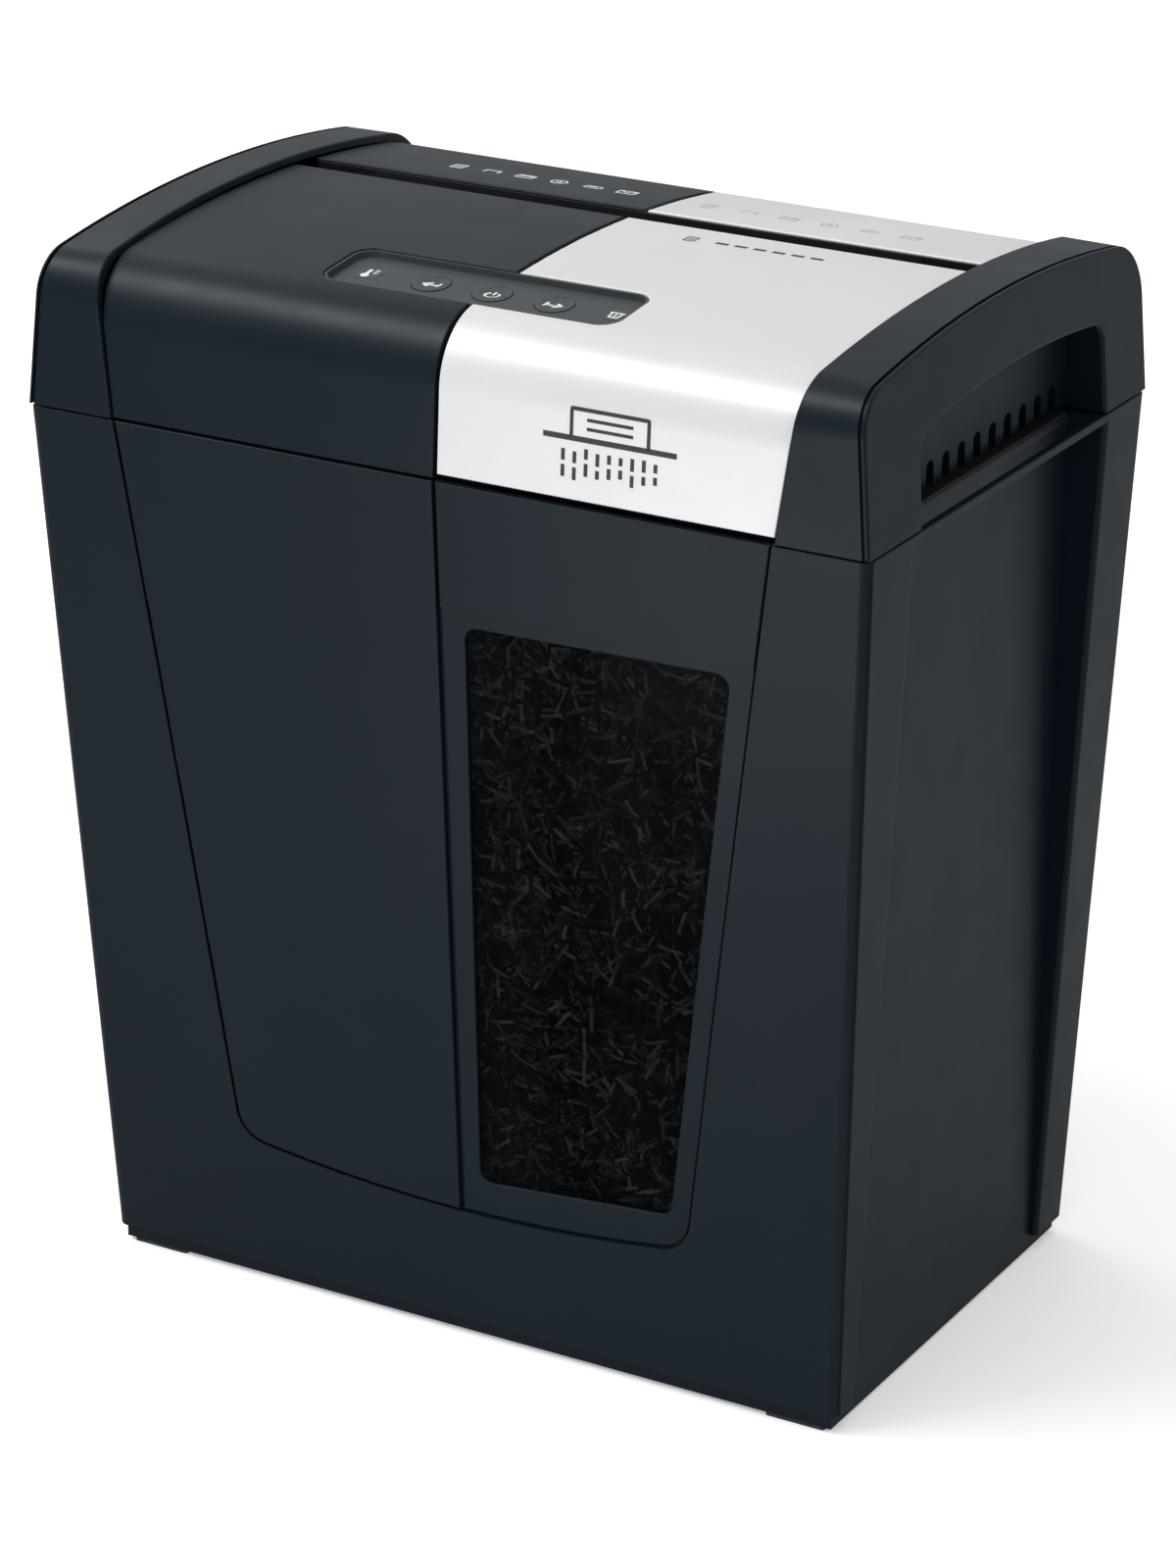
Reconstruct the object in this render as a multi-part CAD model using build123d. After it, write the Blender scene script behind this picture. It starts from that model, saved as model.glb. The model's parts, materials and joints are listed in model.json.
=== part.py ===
from build123d import *
import math
import os

# A cross-cut paper shredder: a tapered waste bin with a window, and a shredding head
# that lifts off it. Millimetres. X to the right seen from the front, -Y is the front,
# +Z is up. The origin is on the floor, under the middle of the shredder.

# ---------------------------------------------------------------- driving dimensions
WIDTH = 340.0              # over the head and the bin at the seam
DEPTH = 224.0              # over the head and the bin at the seam
SEAM_Z = 342.0             # height of the joint between bin and head
BASE_Z = 7.0               # lower edge of the bin's walls, above its plinth
BASE_HALF_WIDTH = 156.0
BASE_FRONT_Y = -91.5
BASE_REAR_Y = 102.0
SHELL = 2.6                # wall of the head's covers
GAP = 0.4                  # half of the visible gap at the seam
RIM_Z = SEAM_Z - GAP       # top of the bin's rim
HEAD_Z = SEAM_Z + GAP      # lower edge of the head's covers
FLANGE_TOP_Z = RIM_Z + 2.0

# bin
BIN_WALL = 3.0
BIN_FRONT_WALL = 4.0
BIN_CORNER_R = 4.0
CORNER_GROOVE_R = 0.9        # fine groove down each front corner
CORNER_GROOVE_TURN = 25.0    # how far round the corner it lies, from the side
FLOOR_Z = 10.0
RECESS_FRONT_Y = -77.0     # hollow in each side of the bin
RECESS_REAR_Y = 78.0
RECESS_TOP_Z = RIM_Z - 3.0
RECESS_TOP_X = 155.5
RECESS_BASE_X = 153.0
SHIELD_DEPTH = 2.2         # recess in the front that takes the panel and the frame
SPLIT_LEFT_X = 0.2         # black pieces end here, beside the middle line
SPLIT_RIGHT_X = 1.8        # silver pieces and the window frame start here
FRAME_STEP = 1.0
FRAME_STEP_Z = 295.0       # the window frame is stepped back below this height

# end caps of the head: their inner and outer side planes lean as they rise
CAP_INNER_X = 134.0
CAP_INNER_LEAN = 0.129
CAP_OUTER_LEAN = 0.086
CAP_BACK_X = 154.0         # back wall of the grip pocket

# paper slot
SLOT_FRONT_Y = 23.5
SLOT_REAR_Y = 38.0
SLOT_HALF_LENGTH = 114.0
STRIP_REAR_Y = 96.0

# control panel
PANEL_LEFT_X = -63.0
PANEL_RIGHT_X = 57.0
PANEL_FRONT_Y = -86.0
PANEL_REAR_Y = -54.0
PANEL_R = 8.0
BUTTON_XS = {"reverse_button": -25.0, "power_button": 0.0, "forward_button": 25.0}
BUTTON_Y = -70.0
BUTTON_R = 7.0

# shredding mechanism
CUTTER_Z = 352.0
FRONT_CUTTER_Y = 13.0
REAR_CUTTER_Y = 47.0
CUTTER_R = 19.0
SPACER_R = 14.4
DISC_COUNT = 52
DISC_PITCH = 4.4
DISC_THICKNESS = 1.9
CUTTER_TEETH = 9
SHAFT_R = 6.0
BUSH_R = 9.0
PLATE_X = 116.0            # inner face of each side plate
PLATE_THICKNESS = 2.0
GEAR_COVER_X = 145.8

# gear train: module and teeth of each mesh
PRESSURE_ANGLE = math.radians(25)
BACKLASH = 0.16
SYNC_MODULE = 1.7
SYNC_TEETH = 20
LAST_MODULE = 1.5
LAST_PINION_TEETH = 12
DRIVE_TEETH = 34
MIDDLE_MODULE = 1.25
MIDDLE_PINION_TEETH = 12
MIDDLE_TEETH = 36
FIRST_MODULE = 0.8
MOTOR_PINION_TEETH = 11
FIRST_TEETH = 49

# motor
MOTOR_Y = -55.0
MOTOR_Z = 362.0
MOTOR_R = 30.0
MOTOR_SHAFT_R = 3.0
AXLE_R = 3.0
RUNNING = 0.05             # radial clearance of a shaft in its hole

# head tray
WELL_HALF_WIDTH = 150.4
WELL_FRONT_Y = -92.0
WELL_REAR_Y = 84.0
WELL_Z = 318.0
WELL_WALL = 2.0
RIM_TOP_Z = 352.0          # top of the tray's upstands behind the covers

TIE_RODS = [(-18.0, 372.0), (64.0, 372.0), (-18.0, 330.0), (70.0, 334.0)]
HOUSING_SCREWS = [(x, y) for x in (-145.5, 145.5) for y in (-98.5, 89.0)]
INTERLOCK_X = -155.0
INTERLOCK_Y = 100.0

# mains side, at the back
ROCKER_AXIS = (104.0, 367.0)
ROCKER_PIN_R = 1.5
GLAND_X = 110.0
GLAND_Z = 364.0


# ---------------------------------------------------------------- general helpers
def block(low, high):
    """A box between two opposite corners."""
    size = [b - a for a, b in zip(low, high)]
    centre = [(a + b) / 2 for a, b in zip(low, high)]
    return Pos(*centre) * Box(*size)


def x_rod(radius, x_low, x_high, y, z):
    """A round bar along X."""
    return Pos((x_low + x_high) / 2, y, z) * Rot(0, 90, 0) * Cylinder(radius, x_high - x_low)


def x_tube(outer, inner, x_low, x_high, y, z):
    """A round tube along X."""
    return x_rod(outer, x_low, x_high, y, z) - x_rod(inner, x_low - 1, x_high + 1, y, z)


def z_rod(radius, z_low, z_high, x, y):
    """A round bar along Z."""
    return Pos(x, y, (z_low + z_high) / 2) * Cylinder(radius, z_high - z_low)


def polygon(points):
    """A flat face inside straight edges."""
    return make_face(Polyline(*points, close=True))


def yz_prism(face, x_low, x_high):
    """Extrude a face drawn as (y, z) along X."""
    return Pos(x_low, 0, 0) * extrude(Plane.YZ * face, x_high - x_low)


def xz_prism(face, y_low, y_high):
    """Extrude a face drawn as (x, z) along Y."""
    return Pos(0, y_high, 0) * extrude(Plane.XZ * face, y_high - y_low)


def mirrored(shape):
    """The same shape on the other side, left for right."""
    return mirror(shape, about=Plane.YZ)


def edge_points(edge):
    return [edge @ share for share in (0.1, 0.5, 0.9)]


def soften(piece, radius, wanted):
    """Round those edges of a piece that pass a test."""
    return fillet(ShapeList([edge for edge in piece.edges() if wanted(edge)]), radius)


def lies_on(edge, faces):
    """True if an edge runs along one of some faces."""
    for point in edge_points(edge):
        if min(face.distance_to(Vertex(*point)) for face in faces) > 0.02:
            return False
    return True


# ---------------------------------------------------------------- bin
def bin_half_width(z):
    share = (z - BASE_Z) / (SEAM_Z - BASE_Z)
    return BASE_HALF_WIDTH + share * (WIDTH / 2 - BASE_HALF_WIDTH)


def bin_front(z):
    share = (z - BASE_Z) / (SEAM_Z - BASE_Z)
    return BASE_FRONT_Y + share * (-DEPTH / 2 - BASE_FRONT_Y)


def bin_rear(z):
    share = (z - BASE_Z) / (SEAM_Z - BASE_Z)
    return BASE_REAR_Y + share * (DEPTH / 2 - BASE_REAR_Y)


def bin_body(z_low, z_high, inset, front_inset, corner_r):
    """The bin's tapered block between two heights, with its walls moved in."""
    sections = []
    for z in (z_low, z_high):
        half_width = bin_half_width(z) - inset
        front = bin_front(z) + front_inset
        rear = bin_rear(z) - inset
        outline = RectangleRounded(2 * half_width, rear - front, corner_r)
        sections.append(Pos(0, (front + rear) / 2, z) * outline)
    return loft(sections, ruled=True)


def side_recess(grow):
    """The hollow in the bin's right side, or the same block with a wall round it."""
    floor = [
        (RECESS_BASE_X - grow, -1.0),
        (200.0, -1.0),
        (200.0, RECESS_TOP_Z + grow),
        (RECESS_TOP_X - grow, RECESS_TOP_Z + grow),
    ]
    return xz_prism(polygon(floor), RECESS_FRONT_Y - grow, RECESS_REAR_Y + grow)


def front_plane():
    """Plane of the bin's leaning front: local x is X, local y runs up the slope."""
    lean = math.atan2(bin_front(BASE_Z) - bin_front(SEAM_Z), SEAM_Z - BASE_Z)
    return Plane(
        origin=(0, bin_front(0), 0),
        x_dir=(1, 0, 0),
        z_dir=(0, -math.cos(lean), -math.sin(lean)),
    )


def on_front(face, out, depth):
    """A slab on the bin's front, from a height above it to a depth below it."""
    plane = front_plane()
    return extrude(plane.offset(-depth) * face, out + depth)


def shield_face(inset):
    """The wide U-shaped field of the front, narrower towards the floor."""
    half_top = 134.5 - inset
    half_middle = 115.0 - inset
    half_base = 96.0 - inset
    outline = [
        Line((half_top, 350.0), (-half_top, 350.0)),
        ThreePointArc((-half_top, 350.0), (-half_middle, 207.0), (-half_base, 61.0 + inset)),
        ThreePointArc((-half_base, 61.0 + inset), (0, 53.0 + inset), (half_base, 61.0 + inset)),
        ThreePointArc((half_base, 61.0 + inset), (half_middle, 207.0), (half_top, 350.0)),
    ]
    face = make_face(outline)
    return fillet(face.vertices().sort_by(Axis.Y)[:2], 14.0 - inset)


def window_face(grow):
    """The bin's window, with its right side following the field's edge."""
    corners = [(9.0, 67.0), (89.0, 73.5), (116.5, 291.0), (11.0, 289.0)]
    face = fillet(polygon(corners).vertices(), 5.0)
    if grow:
        face = offset(face, grow)
    return face


def corner_groove():
    """A round bar along the right front corner, for the fine groove in it."""
    turn = math.radians(CORNER_GROOVE_TURN)
    ends = []
    for z in (-5.0, 355.0):
        x = bin_half_width(z) - BIN_CORNER_R * (1 - math.cos(turn))
        y = bin_front(z) + BIN_CORNER_R * (1 - math.sin(turn))
        ends.append(Vector(x, y, z))
    run = ends[1] - ends[0]
    foot = Plane(origin=ends[0], z_dir=run.normalized())
    return extrude(foot * Circle(CORNER_GROOVE_R), run.length)


def grip_opening():
    """The gap behind the rim's outer bar, under the head's right grip pocket."""
    return block((RECESS_TOP_X + 2.0, -70.0, RIM_Z - 8), (WIDTH / 2 - 3.0, 73.0, RIM_Z + 5))


def bin_shell():
    """The waste bin: one moulded tub with a plinth, side hollows and a rim."""
    recess = side_recess(0) + mirrored(side_recess(0))
    recess_walls = side_recess(BIN_WALL) + mirrored(side_recess(BIN_WALL))
    outside = bin_body(BASE_Z, RIM_Z, 0.0, 0.0, BIN_CORNER_R)
    inside = bin_body(FLOOR_Z, SEAM_Z + 5, BIN_WALL, BIN_FRONT_WALL, BIN_CORNER_R - BIN_WALL)
    plinth = block((-153, -89.2, 1.5), (153, 98.9, BASE_Z))
    plinth_hollow = block((-147, -86.2, 0), (147, 95.9, BASE_Z))
    shell = outside + (plinth - plinth_hollow) - recess - (inside - recess_walls)
    shell -= on_front(shield_face(0.0), 5.0, SHIELD_DEPTH)
    shell -= on_front(window_face(3.2), 5.0, 12.0)
    shell = soften(shell, 2.0, is_recess_corner)
    shell = soften(shell, 0.5, is_rim_edge)
    shell -= corner_groove() + mirrored(corner_groove())
    shell -= grip_opening() + mirrored(grip_opening())
    return shell + interlock_post()


def is_recess_corner(edge):
    """The upright edges where the side bands turn into the side hollows."""
    if min(abs((edge @ 0.5).Y - y) for y in (RECESS_FRONT_Y, RECESS_REAR_Y)) > 0.05:
        return False
    return all(abs(abs(p.X) - bin_half_width(p.Z)) < 0.05 for p in edge_points(edge))


def is_rim_edge(edge):
    """The edges round the top of the bin's walls."""
    for point in edge_points(edge):
        inside = abs(point.X) < 165 and abs(point.Y) < DEPTH / 2 - BIN_WALL - 0.1
        if inside or abs(point.Z - RIM_Z) > 0.01:
            return False
    return True


def interlock_post():
    """The post in the bin's left rear corner that works the head's safety switch."""
    low = (INTERLOCK_X - 4, INTERLOCK_Y - 4, 300)
    post = block(low, (INTERLOCK_X + 4, INTERLOCK_Y + 4, 347))
    return post + block(low, (INTERLOCK_X + 4, bin_rear(300) - 1.0, 336))


def front_panel():
    """The black plate on the left of the bin's front."""
    plate = on_front(shield_face(0.9), 0.0, SHIELD_DEPTH)
    plate = plate & block((-200, -200, 0), (SPLIT_LEFT_X, 0, RIM_Z))
    return soften(plate, 0.5, lambda edge: front_depth(edge) < 0.01)


def front_depth(edge):
    """How far the deepest point of an edge lies below the bin's front plane."""
    return max(-front_plane().to_local_coords(point).Z for point in edge_points(edge))


def window_frame():
    """The black frame round the window: full height above, stepped back below."""
    plate = on_front(shield_face(0.9), 0.0, SHIELD_DEPTH)
    plate = plate & block((SPLIT_RIGHT_X, -200, 0), (200, 0, RIM_Z))
    step = block((0, -200, 0), (200, 0, FRAME_STEP_Z))
    plate -= step & on_front(shield_face(-5.0), 5.0, FRAME_STEP)
    plate -= on_front(window_face(0.0), 5.0, 10.0)
    return soften(plate, 0.4, is_window_rim)


def is_window_rim(edge):
    """The front edges of the window frame, but not the foot of its step."""
    at_step = abs((edge @ 0.5).Z - FRAME_STEP_Z) < 0.2
    return front_depth(edge) < FRAME_STEP + 0.01 and not at_step


def bin_window():
    """The smoked pane, held behind the window frame."""
    return on_front(window_face(3.0), -SHIELD_DEPTH, BIN_FRONT_WALL)


def rubber_feet():
    """Four pads under the plinth's corners."""
    feet = []
    for x in (-138, 138):
        for y in (-87.6, 97.4):
            pad = Pos(x, y, 0) * extrude(RectangleRounded(24, 2.6, 1.2), 1.5)
            feet.append(pad)
    return Compound(children=feet)


# ---------------------------------------------------------------- head sections
COVER = dict(front=-111.0, rear=111.0, lean=2.8, front_z=396.0, crown_z=404.4, rear_z=394.5,
             front_r=26.0, rear_r=27.0)
CAP_INNER = dict(front=-112.0, rear=112.0, lean=2.0, front_z=397.5, crown_z=408.0, rear_z=397.0,
                 front_r=20.0, rear_r=24.0)
CAP_OUTER = dict(front=-112.0, rear=112.0, lean=2.0, front_z=396.5, crown_z=406.5, rear_z=396.5,
                 front_r=16.0, rear_r=22.0)


def head_face(shape, inset):
    """Side view (y, z) of the head: leaning front, crowned top, rounded shoulders."""
    foot = 30.0
    slope = shape["lean"] / (shape["front_z"] - SEAM_Z)
    front_foot = (shape["front"] + inset - slope * foot, SEAM_Z - foot)
    front_top = (shape["front"] + inset + shape["lean"], shape["front_z"] - inset)
    crown = (0, shape["crown_z"] - inset)
    rear_top = (shape["rear"] - inset, shape["rear_z"] - inset)
    rear_foot = (shape["rear"] - inset, SEAM_Z - foot)
    outline = [
        Line(front_foot, front_top),
        ThreePointArc(front_top, crown, rear_top),
        Line(rear_top, rear_foot),
        Line(rear_foot, front_foot),
    ]
    face = make_face(outline)
    top = face.vertices().sort_by(Axis.Y)[-2:].sort_by(Axis.X)
    face = fillet(top[0], shape["front_r"] - inset)
    corner = face.vertices().filter_by(lambda v: v.X > 100 and v.Y > SEAM_Z)
    return fillet(corner, shape["rear_r"] - inset)


def cover_prism(inset):
    """The solid under the middle covers, between the end caps' inner planes."""
    low = HEAD_Z
    high = SEAM_Z + 70
    foot_x = CAP_INNER_X - GAP
    top_x = CAP_INNER_X - GAP + CAP_INNER_LEAN * (high - SEAM_Z)
    sides = polygon([(-foot_x, low), (foot_x, low), (top_x, high), (-top_x, high)])
    return yz_prism(head_face(COVER, inset), -160, 160) & xz_prism(sides, -130, 130)


def cover_shell(outer, inner, x_low, x_high, y_low, y_high, z_low):
    """A piece of the covers' skin between two depths below the surface."""
    skin = cover_prism(outer) - cover_prism(inner)
    return skin & block((x_low, y_low, z_low), (x_high, y_high, 420))


def panel_face(inset):
    """Top view of the control panel's opening."""
    width = PANEL_RIGHT_X - PANEL_LEFT_X - 2 * inset
    height = PANEL_REAR_Y - PANEL_FRONT_Y - 2 * inset
    centre = Pos((PANEL_LEFT_X + PANEL_RIGHT_X) / 2, (PANEL_FRONT_Y + PANEL_REAR_Y) / 2, 0)
    return centre * RectangleRounded(width, height, PANEL_R - inset)


def panel_prism(inset):
    return Pos(0, 0, 380) * extrude(panel_face(inset), 40)


# ---------------------------------------------------------------- head covers
COVER_SKIN = [face for face in yz_prism(head_face(COVER, 0), -400, 400).faces()
              if abs(face.normal_at().X) < 0.9]


def is_cover_rim(edge):
    """The visible edges of a top cover, without the lines where its curves join."""
    middle = edge @ 0.5
    rims = (SLOT_FRONT_Y, SLOT_REAR_Y, PANEL_FRONT_Y, PANEL_REAR_Y)
    if abs((edge % 0.5).X) > 0.99 and middle.Z > HEAD_Z + 3:
        if min(abs(middle.Y - y) for y in rims) > 0.01:
            return False
    return lies_on(edge, COVER_SKIN)


def front_cover_black():
    """Left half of the front and top, with a tongue under the silver half's edge."""
    cover = cover_shell(0, SHELL, -200, SPLIT_LEFT_X, -130, SLOT_FRONT_Y, HEAD_Z)
    cover = soften(cover - panel_prism(0), 0.5, is_cover_rim)
    tongue = cover_shell(SHELL, 2 * SHELL, -8, 8, -130, SLOT_FRONT_Y - 7, RIM_TOP_Z + 0.6)
    return cover + (tongue - panel_prism(-3.0))


def silver_panel():
    """Right half of the front and top."""
    cover = cover_shell(0, SHELL, SPLIT_RIGHT_X, 200, -130, SLOT_FRONT_Y, HEAD_Z + 1.8)
    return soften(cover - panel_prism(0), 0.5, is_cover_rim)


def rear_strip_black():
    """Left half of the strip behind the slot, with a tongue under the other half."""
    cover = cover_shell(0, SHELL, -200, SPLIT_LEFT_X, SLOT_REAR_Y, STRIP_REAR_Y, HEAD_Z)
    tongue = cover_shell(SHELL, 2 * SHELL, -8, 8, SLOT_REAR_Y + 7, STRIP_REAR_Y - 6, HEAD_Z)
    return soften(cover, 0.8, is_cover_rim) + tongue


def rear_strip_silver():
    """Right half of the strip behind the slot."""
    cover = cover_shell(0, SHELL, SPLIT_RIGHT_X, 200, SLOT_REAR_Y, STRIP_REAR_Y, HEAD_Z)
    return soften(cover, 0.8, is_cover_rim)


def rear_cover():
    """The head's back, with cooling slots, the switch opening and the cord hole."""
    cover = cover_shell(0, SHELL, -200, 200, STRIP_REAR_Y + GAP, 130, HEAD_Z)
    slot = xz_prism(SlotOverall(26, 3.2, rotation=90), 100, 120)
    for number in range(13):
        cover -= Pos(-54 + 9 * number, 0, 366) * slot
    cover -= switch_frame_block(0.0)
    return cover - gland_rod(7.0)


def end_cap_solid(inset, outer_inset):
    """The right end cap as a block, between its two leaning side planes."""
    low = HEAD_Z - (5 if inset else 0)
    high = SEAM_Z + 70
    inner = Pos(CAP_INNER_X - 4, 0, 0) * (Plane.YZ * head_face(CAP_INNER, inset))
    outer = Pos(WIDTH / 2, 0, 0) * (Plane.YZ * head_face(CAP_OUTER, inset))
    body = loft([inner, outer], ruled=True)
    foot_inner = CAP_INNER_X + CAP_INNER_LEAN * (low - SEAM_Z)
    top_inner = CAP_INNER_X + CAP_INNER_LEAN * (high - SEAM_Z)
    if inset:
        foot_inner -= 10
        top_inner -= 10
    foot_outer = WIDTH / 2 - CAP_OUTER_LEAN * (low - SEAM_Z) - outer_inset
    top_outer = WIDTH / 2 - CAP_OUTER_LEAN * (high - SEAM_Z) - outer_inset
    sides = polygon([(foot_inner, low), (foot_outer, low), (top_outer, high), (top_inner, high)])
    return body & xz_prism(sides, -130, 130)


def pocket_face(grow):
    """Side view (y, z) of the grip pocket, open at the bottom."""
    outline = [
        Line((-73.4, 325), (-69.6, 373.5)),
        ThreePointArc((-69.6, 373.5), (8, 379.6), (76.8, 375)),
        Line((76.8, 375), (76.4, 325)),
        Line((76.4, 325), (-73.4, 325)),
    ]
    face = make_face(outline)
    face = fillet(face.vertices().sort_by(Axis.Y)[-2:], 8.0)
    if grow:
        face = offset(face, grow)
    return face


def vent_slots():
    """Nine round-topped slots in the back wall of the grip pocket."""
    slot = yz_prism(Pos(0, 8) * SlotOverall(30, 6, rotation=90), 148, 158)
    slots = []
    for number in range(9):
        slots.append(Pos(0, -35.0 + 12.4 * number, 330.5) * slot)
    return slots


def end_cap():
    """The right end cap: a band over the top, the side face and the grip pocket."""
    solid = end_cap_solid(0, 0)
    hollow = end_cap_solid(SHELL, SHELL)
    pocket = yz_prism(pocket_face(0), CAP_BACK_X, 200)
    pocket_walls = yz_prism(pocket_face(SHELL), CAP_BACK_X - SHELL, 200)
    cap = solid - (hollow - pocket_walls) - pocket
    for x, y in HOUSING_SCREWS[2:]:
        cap += z_rod(4.0, FLANGE_TOP_Z, 420, x, y) & solid
    cap = soften(cap, 1.0, is_cap_ridge)
    cap = soften(cap, 1.6, is_pocket_rim)
    cap = soften(cap, 0.8, is_cap_inner_rim)
    cap -= end_cap_solid(0, 1.2) - end_cap_solid(1.1, 0) - end_cap_solid(0, 2.8)
    cap -= block((150, -68, 330), (157, 72, FLANGE_TOP_Z + 0.6))
    for slot in vent_slots():
        cap -= slot
    return cap - housing_screws()


def on_cap_side(edge):
    """True if an edge runs along the cap's outer side plane, above its foot."""
    for point in edge_points(edge):
        side_x = WIDTH / 2 - CAP_OUTER_LEAN * (point.Z - SEAM_Z)
        if abs(point.X - side_x) > 0.02:
            return False
    return (edge @ 0.5).Z > HEAD_Z + 0.1


def is_pocket_rim(edge):
    middle = edge @ 0.5
    return on_cap_side(edge) and abs(middle.Y) < 85 and middle.Z < 385


def is_cap_ridge(edge):
    return on_cap_side(edge) and not is_pocket_rim(edge)


def is_cap_inner_rim(edge):
    """The edge of the cap's band beside the middle covers."""
    for point in edge_points(edge):
        if abs(point.X - CAP_INNER_X - CAP_INNER_LEAN * (point.Z - SEAM_Z)) > 0.02:
            return False
    skin = [face for face in end_cap_solid(0, 0).faces() if abs(face.normal_at().X) < 0.5]
    return (edge @ 0.5).Z > HEAD_Z + 0.1 and lies_on(edge, skin)


def right_end_cap():
    return end_cap()


def left_end_cap():
    return mirrored(end_cap())


# ---------------------------------------------------------------- slot and controls
def slot_throat():
    """The black funnel that leads paper from the slot to the cutters."""
    under = cover_prism(SHELL + 0.2) & block((-140, 17, 373), (140, 44.5, 420))
    between = cover_prism(0.9) & block(
        (-140, SLOT_FRONT_Y + 0.2, 373), (140, SLOT_REAR_Y - 0.2, 420)
    )
    body = under + between
    body -= block((-160, 0, 360), (-PLATE_X + 1, 60, 391))
    body -= block((PLATE_X - 1, 0, 360), (160, 60, 391))
    middle = (SLOT_FRONT_Y + SLOT_REAR_Y) / 2
    funnel = polygon([
        (middle - 3, 360), (middle + 3, 360), (middle + 3, 389),
        (SLOT_REAR_Y - 1.6, 404), (SLOT_REAR_Y - 1.6, 410),
        (SLOT_FRONT_Y + 1.6, 410), (SLOT_FRONT_Y + 1.6, 404), (middle - 3, 389),
    ])
    body -= yz_prism(funnel, -SLOT_HALF_LENGTH, SLOT_HALF_LENGTH)
    gutter = cover_prism(-2) - cover_prism(4.2)
    for x_low, x_high in ((-150, -SLOT_HALF_LENGTH), (SLOT_HALF_LENGTH, 150)):
        body -= gutter & block(
            (x_low, SLOT_FRONT_Y + 1.6, 380), (x_high, SLOT_REAR_Y - 1.6, 420)
        )
    return body - sensor_blocks()


def sensor_blocks():
    """Light barrier halves, one each side of the throat's middle."""
    front = block((-5, 17.5, 378), (5, 27.75, 386))
    rear = block((-5, 33.75, 378), (5, 44, 386))
    return front + rear


def paper_sensors():
    return sensor_blocks()


def control_bezel():
    """The grey panel in the top cover, sunk below it, with a thin raised rim."""
    plate = (cover_prism(SHELL + 0.1) - cover_prism(SHELL + 2.1)) & panel_prism(-2.5)
    rim = (cover_prism(0.5) - cover_prism(SHELL + 0.3)) & (panel_prism(0.25) - panel_prism(1.2))
    bezel = plate + rim
    for x in (-52.0, 35.0):
        bezel += z_rod(2.5, 388.8, 398, x, -62)
    for x in BUTTON_XS.values():
        bezel -= z_rod(BUTTON_R + 0.3, 380, 410, x, BUTTON_Y)
    return bezel - led_block() - lens_blocks()


def push_button(x):
    """A round key with a finger dimple, a retaining flange and a stem."""
    key = z_rod(BUTTON_R, 393, 410, x, BUTTON_Y) & cover_prism(SHELL - 0.2)
    flange = z_rod(BUTTON_R + 1.5, 393, 394.2, x, BUTTON_Y)
    stem = z_rod(2.5, 391.6, 393.5, x, BUTTON_Y)
    dimple = Pos(x, BUTTON_Y, 398.6 + 24.0) * Sphere(24.8)
    return key + flange + stem - dimple


def led_block():
    return block((-4, -84, 393.5), (5, -82, 410)) & cover_prism(SHELL - 0.2)


def led_bar():
    """The status light's bar."""
    return led_block()


def lens_blocks():
    blocks = []
    for x in (-50.5, 51.0):
        body = Pos(x, BUTTON_Y, 394) * extrude(RectangleRounded(10, 9, 1.5), 16)
        blocks.append(body & cover_prism(SHELL))
    return blocks[0] + blocks[1]


def indicator_lenses():
    """Two small backlit windows at the ends of the control panel."""
    return lens_blocks()


def control_pcb():
    """The button board, hung under the control panel."""
    board = block((-58, -84, 387.2), (38, -56, 388.8))
    for x in BUTTON_XS.values():
        board += block((x - 3, BUTTON_Y - 3, 388.8), (x + 3, BUTTON_Y + 3, 390.5))
    return board + block((-2, -84, 388.8), (3, -81.5, 391))


# ---------------------------------------------------------------- tray and fixings
def well(inset):
    return block(
        (-WELL_HALF_WIDTH + inset, WELL_FRONT_Y + inset, WELL_Z + inset),
        (WELL_HALF_WIDTH - inset, WELL_REAR_Y - inset, FLANGE_TOP_Z + inset),
    )


def head_tray():
    """The head's floor: a flange on the bin's rim and a well for the mechanism."""
    flange = block((-150.4, -104, RIM_Z), (150.4, 104, FLANGE_TOP_Z))
    flange += block((-158, -64, RIM_Z), (158, 68, FLANGE_TOP_Z))
    rim = block((-130, -106.4, RIM_Z), (130, -104, RIM_TOP_Z))
    rim += block((-130, 104, RIM_Z), (130, 106.4, RIM_TOP_Z))
    tray = flange + rim + well(0) - well(WELL_WALL)
    tray -= block((-SLOT_HALF_LENGTH, -8, WELL_Z - 5), (SLOT_HALF_LENGTH, 68, WELL_Z + 5))
    return tray - housing_screws()


def screw_z(x, y, head_z, length, head_r, shank_r):
    """A pan-head screw driven upwards, with a cross in its head."""
    body = z_rod(head_r, head_z, RIM_Z, x, y) + z_rod(shank_r, RIM_Z - 0.5, RIM_Z + length, x, y)
    for angle in (0, 90):
        body -= Pos(x, y, head_z) * Rot(0, 0, angle) * Box(4.0, 0.9, 2.0)
    return body


def housing_screws():
    """Four screws up through the tray's flange into the end caps."""
    screws = [screw_z(x, y, RIM_Z - 2.4, 18.0, 3.6, 1.6) for x, y in HOUSING_SCREWS]
    return Compound(children=screws)


# ---------------------------------------------------------------- cutting unit
def side_plate_face():
    corners = [(-88, 321), (80, 321), (80, 376), (70, 388), (-74, 388), (-88, 374)]
    return fillet(polygon(corners).vertices(), 4.0)


def side_plate(x_low, holes):
    """A steel plate with holes for what goes through it."""
    plate = yz_prism(side_plate_face(), x_low, x_low + PLATE_THICKNESS)
    for radius, y, z in holes:
        plate -= x_rod(radius, x_low - 5, x_low + 10, y, z)
    return plate


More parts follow.
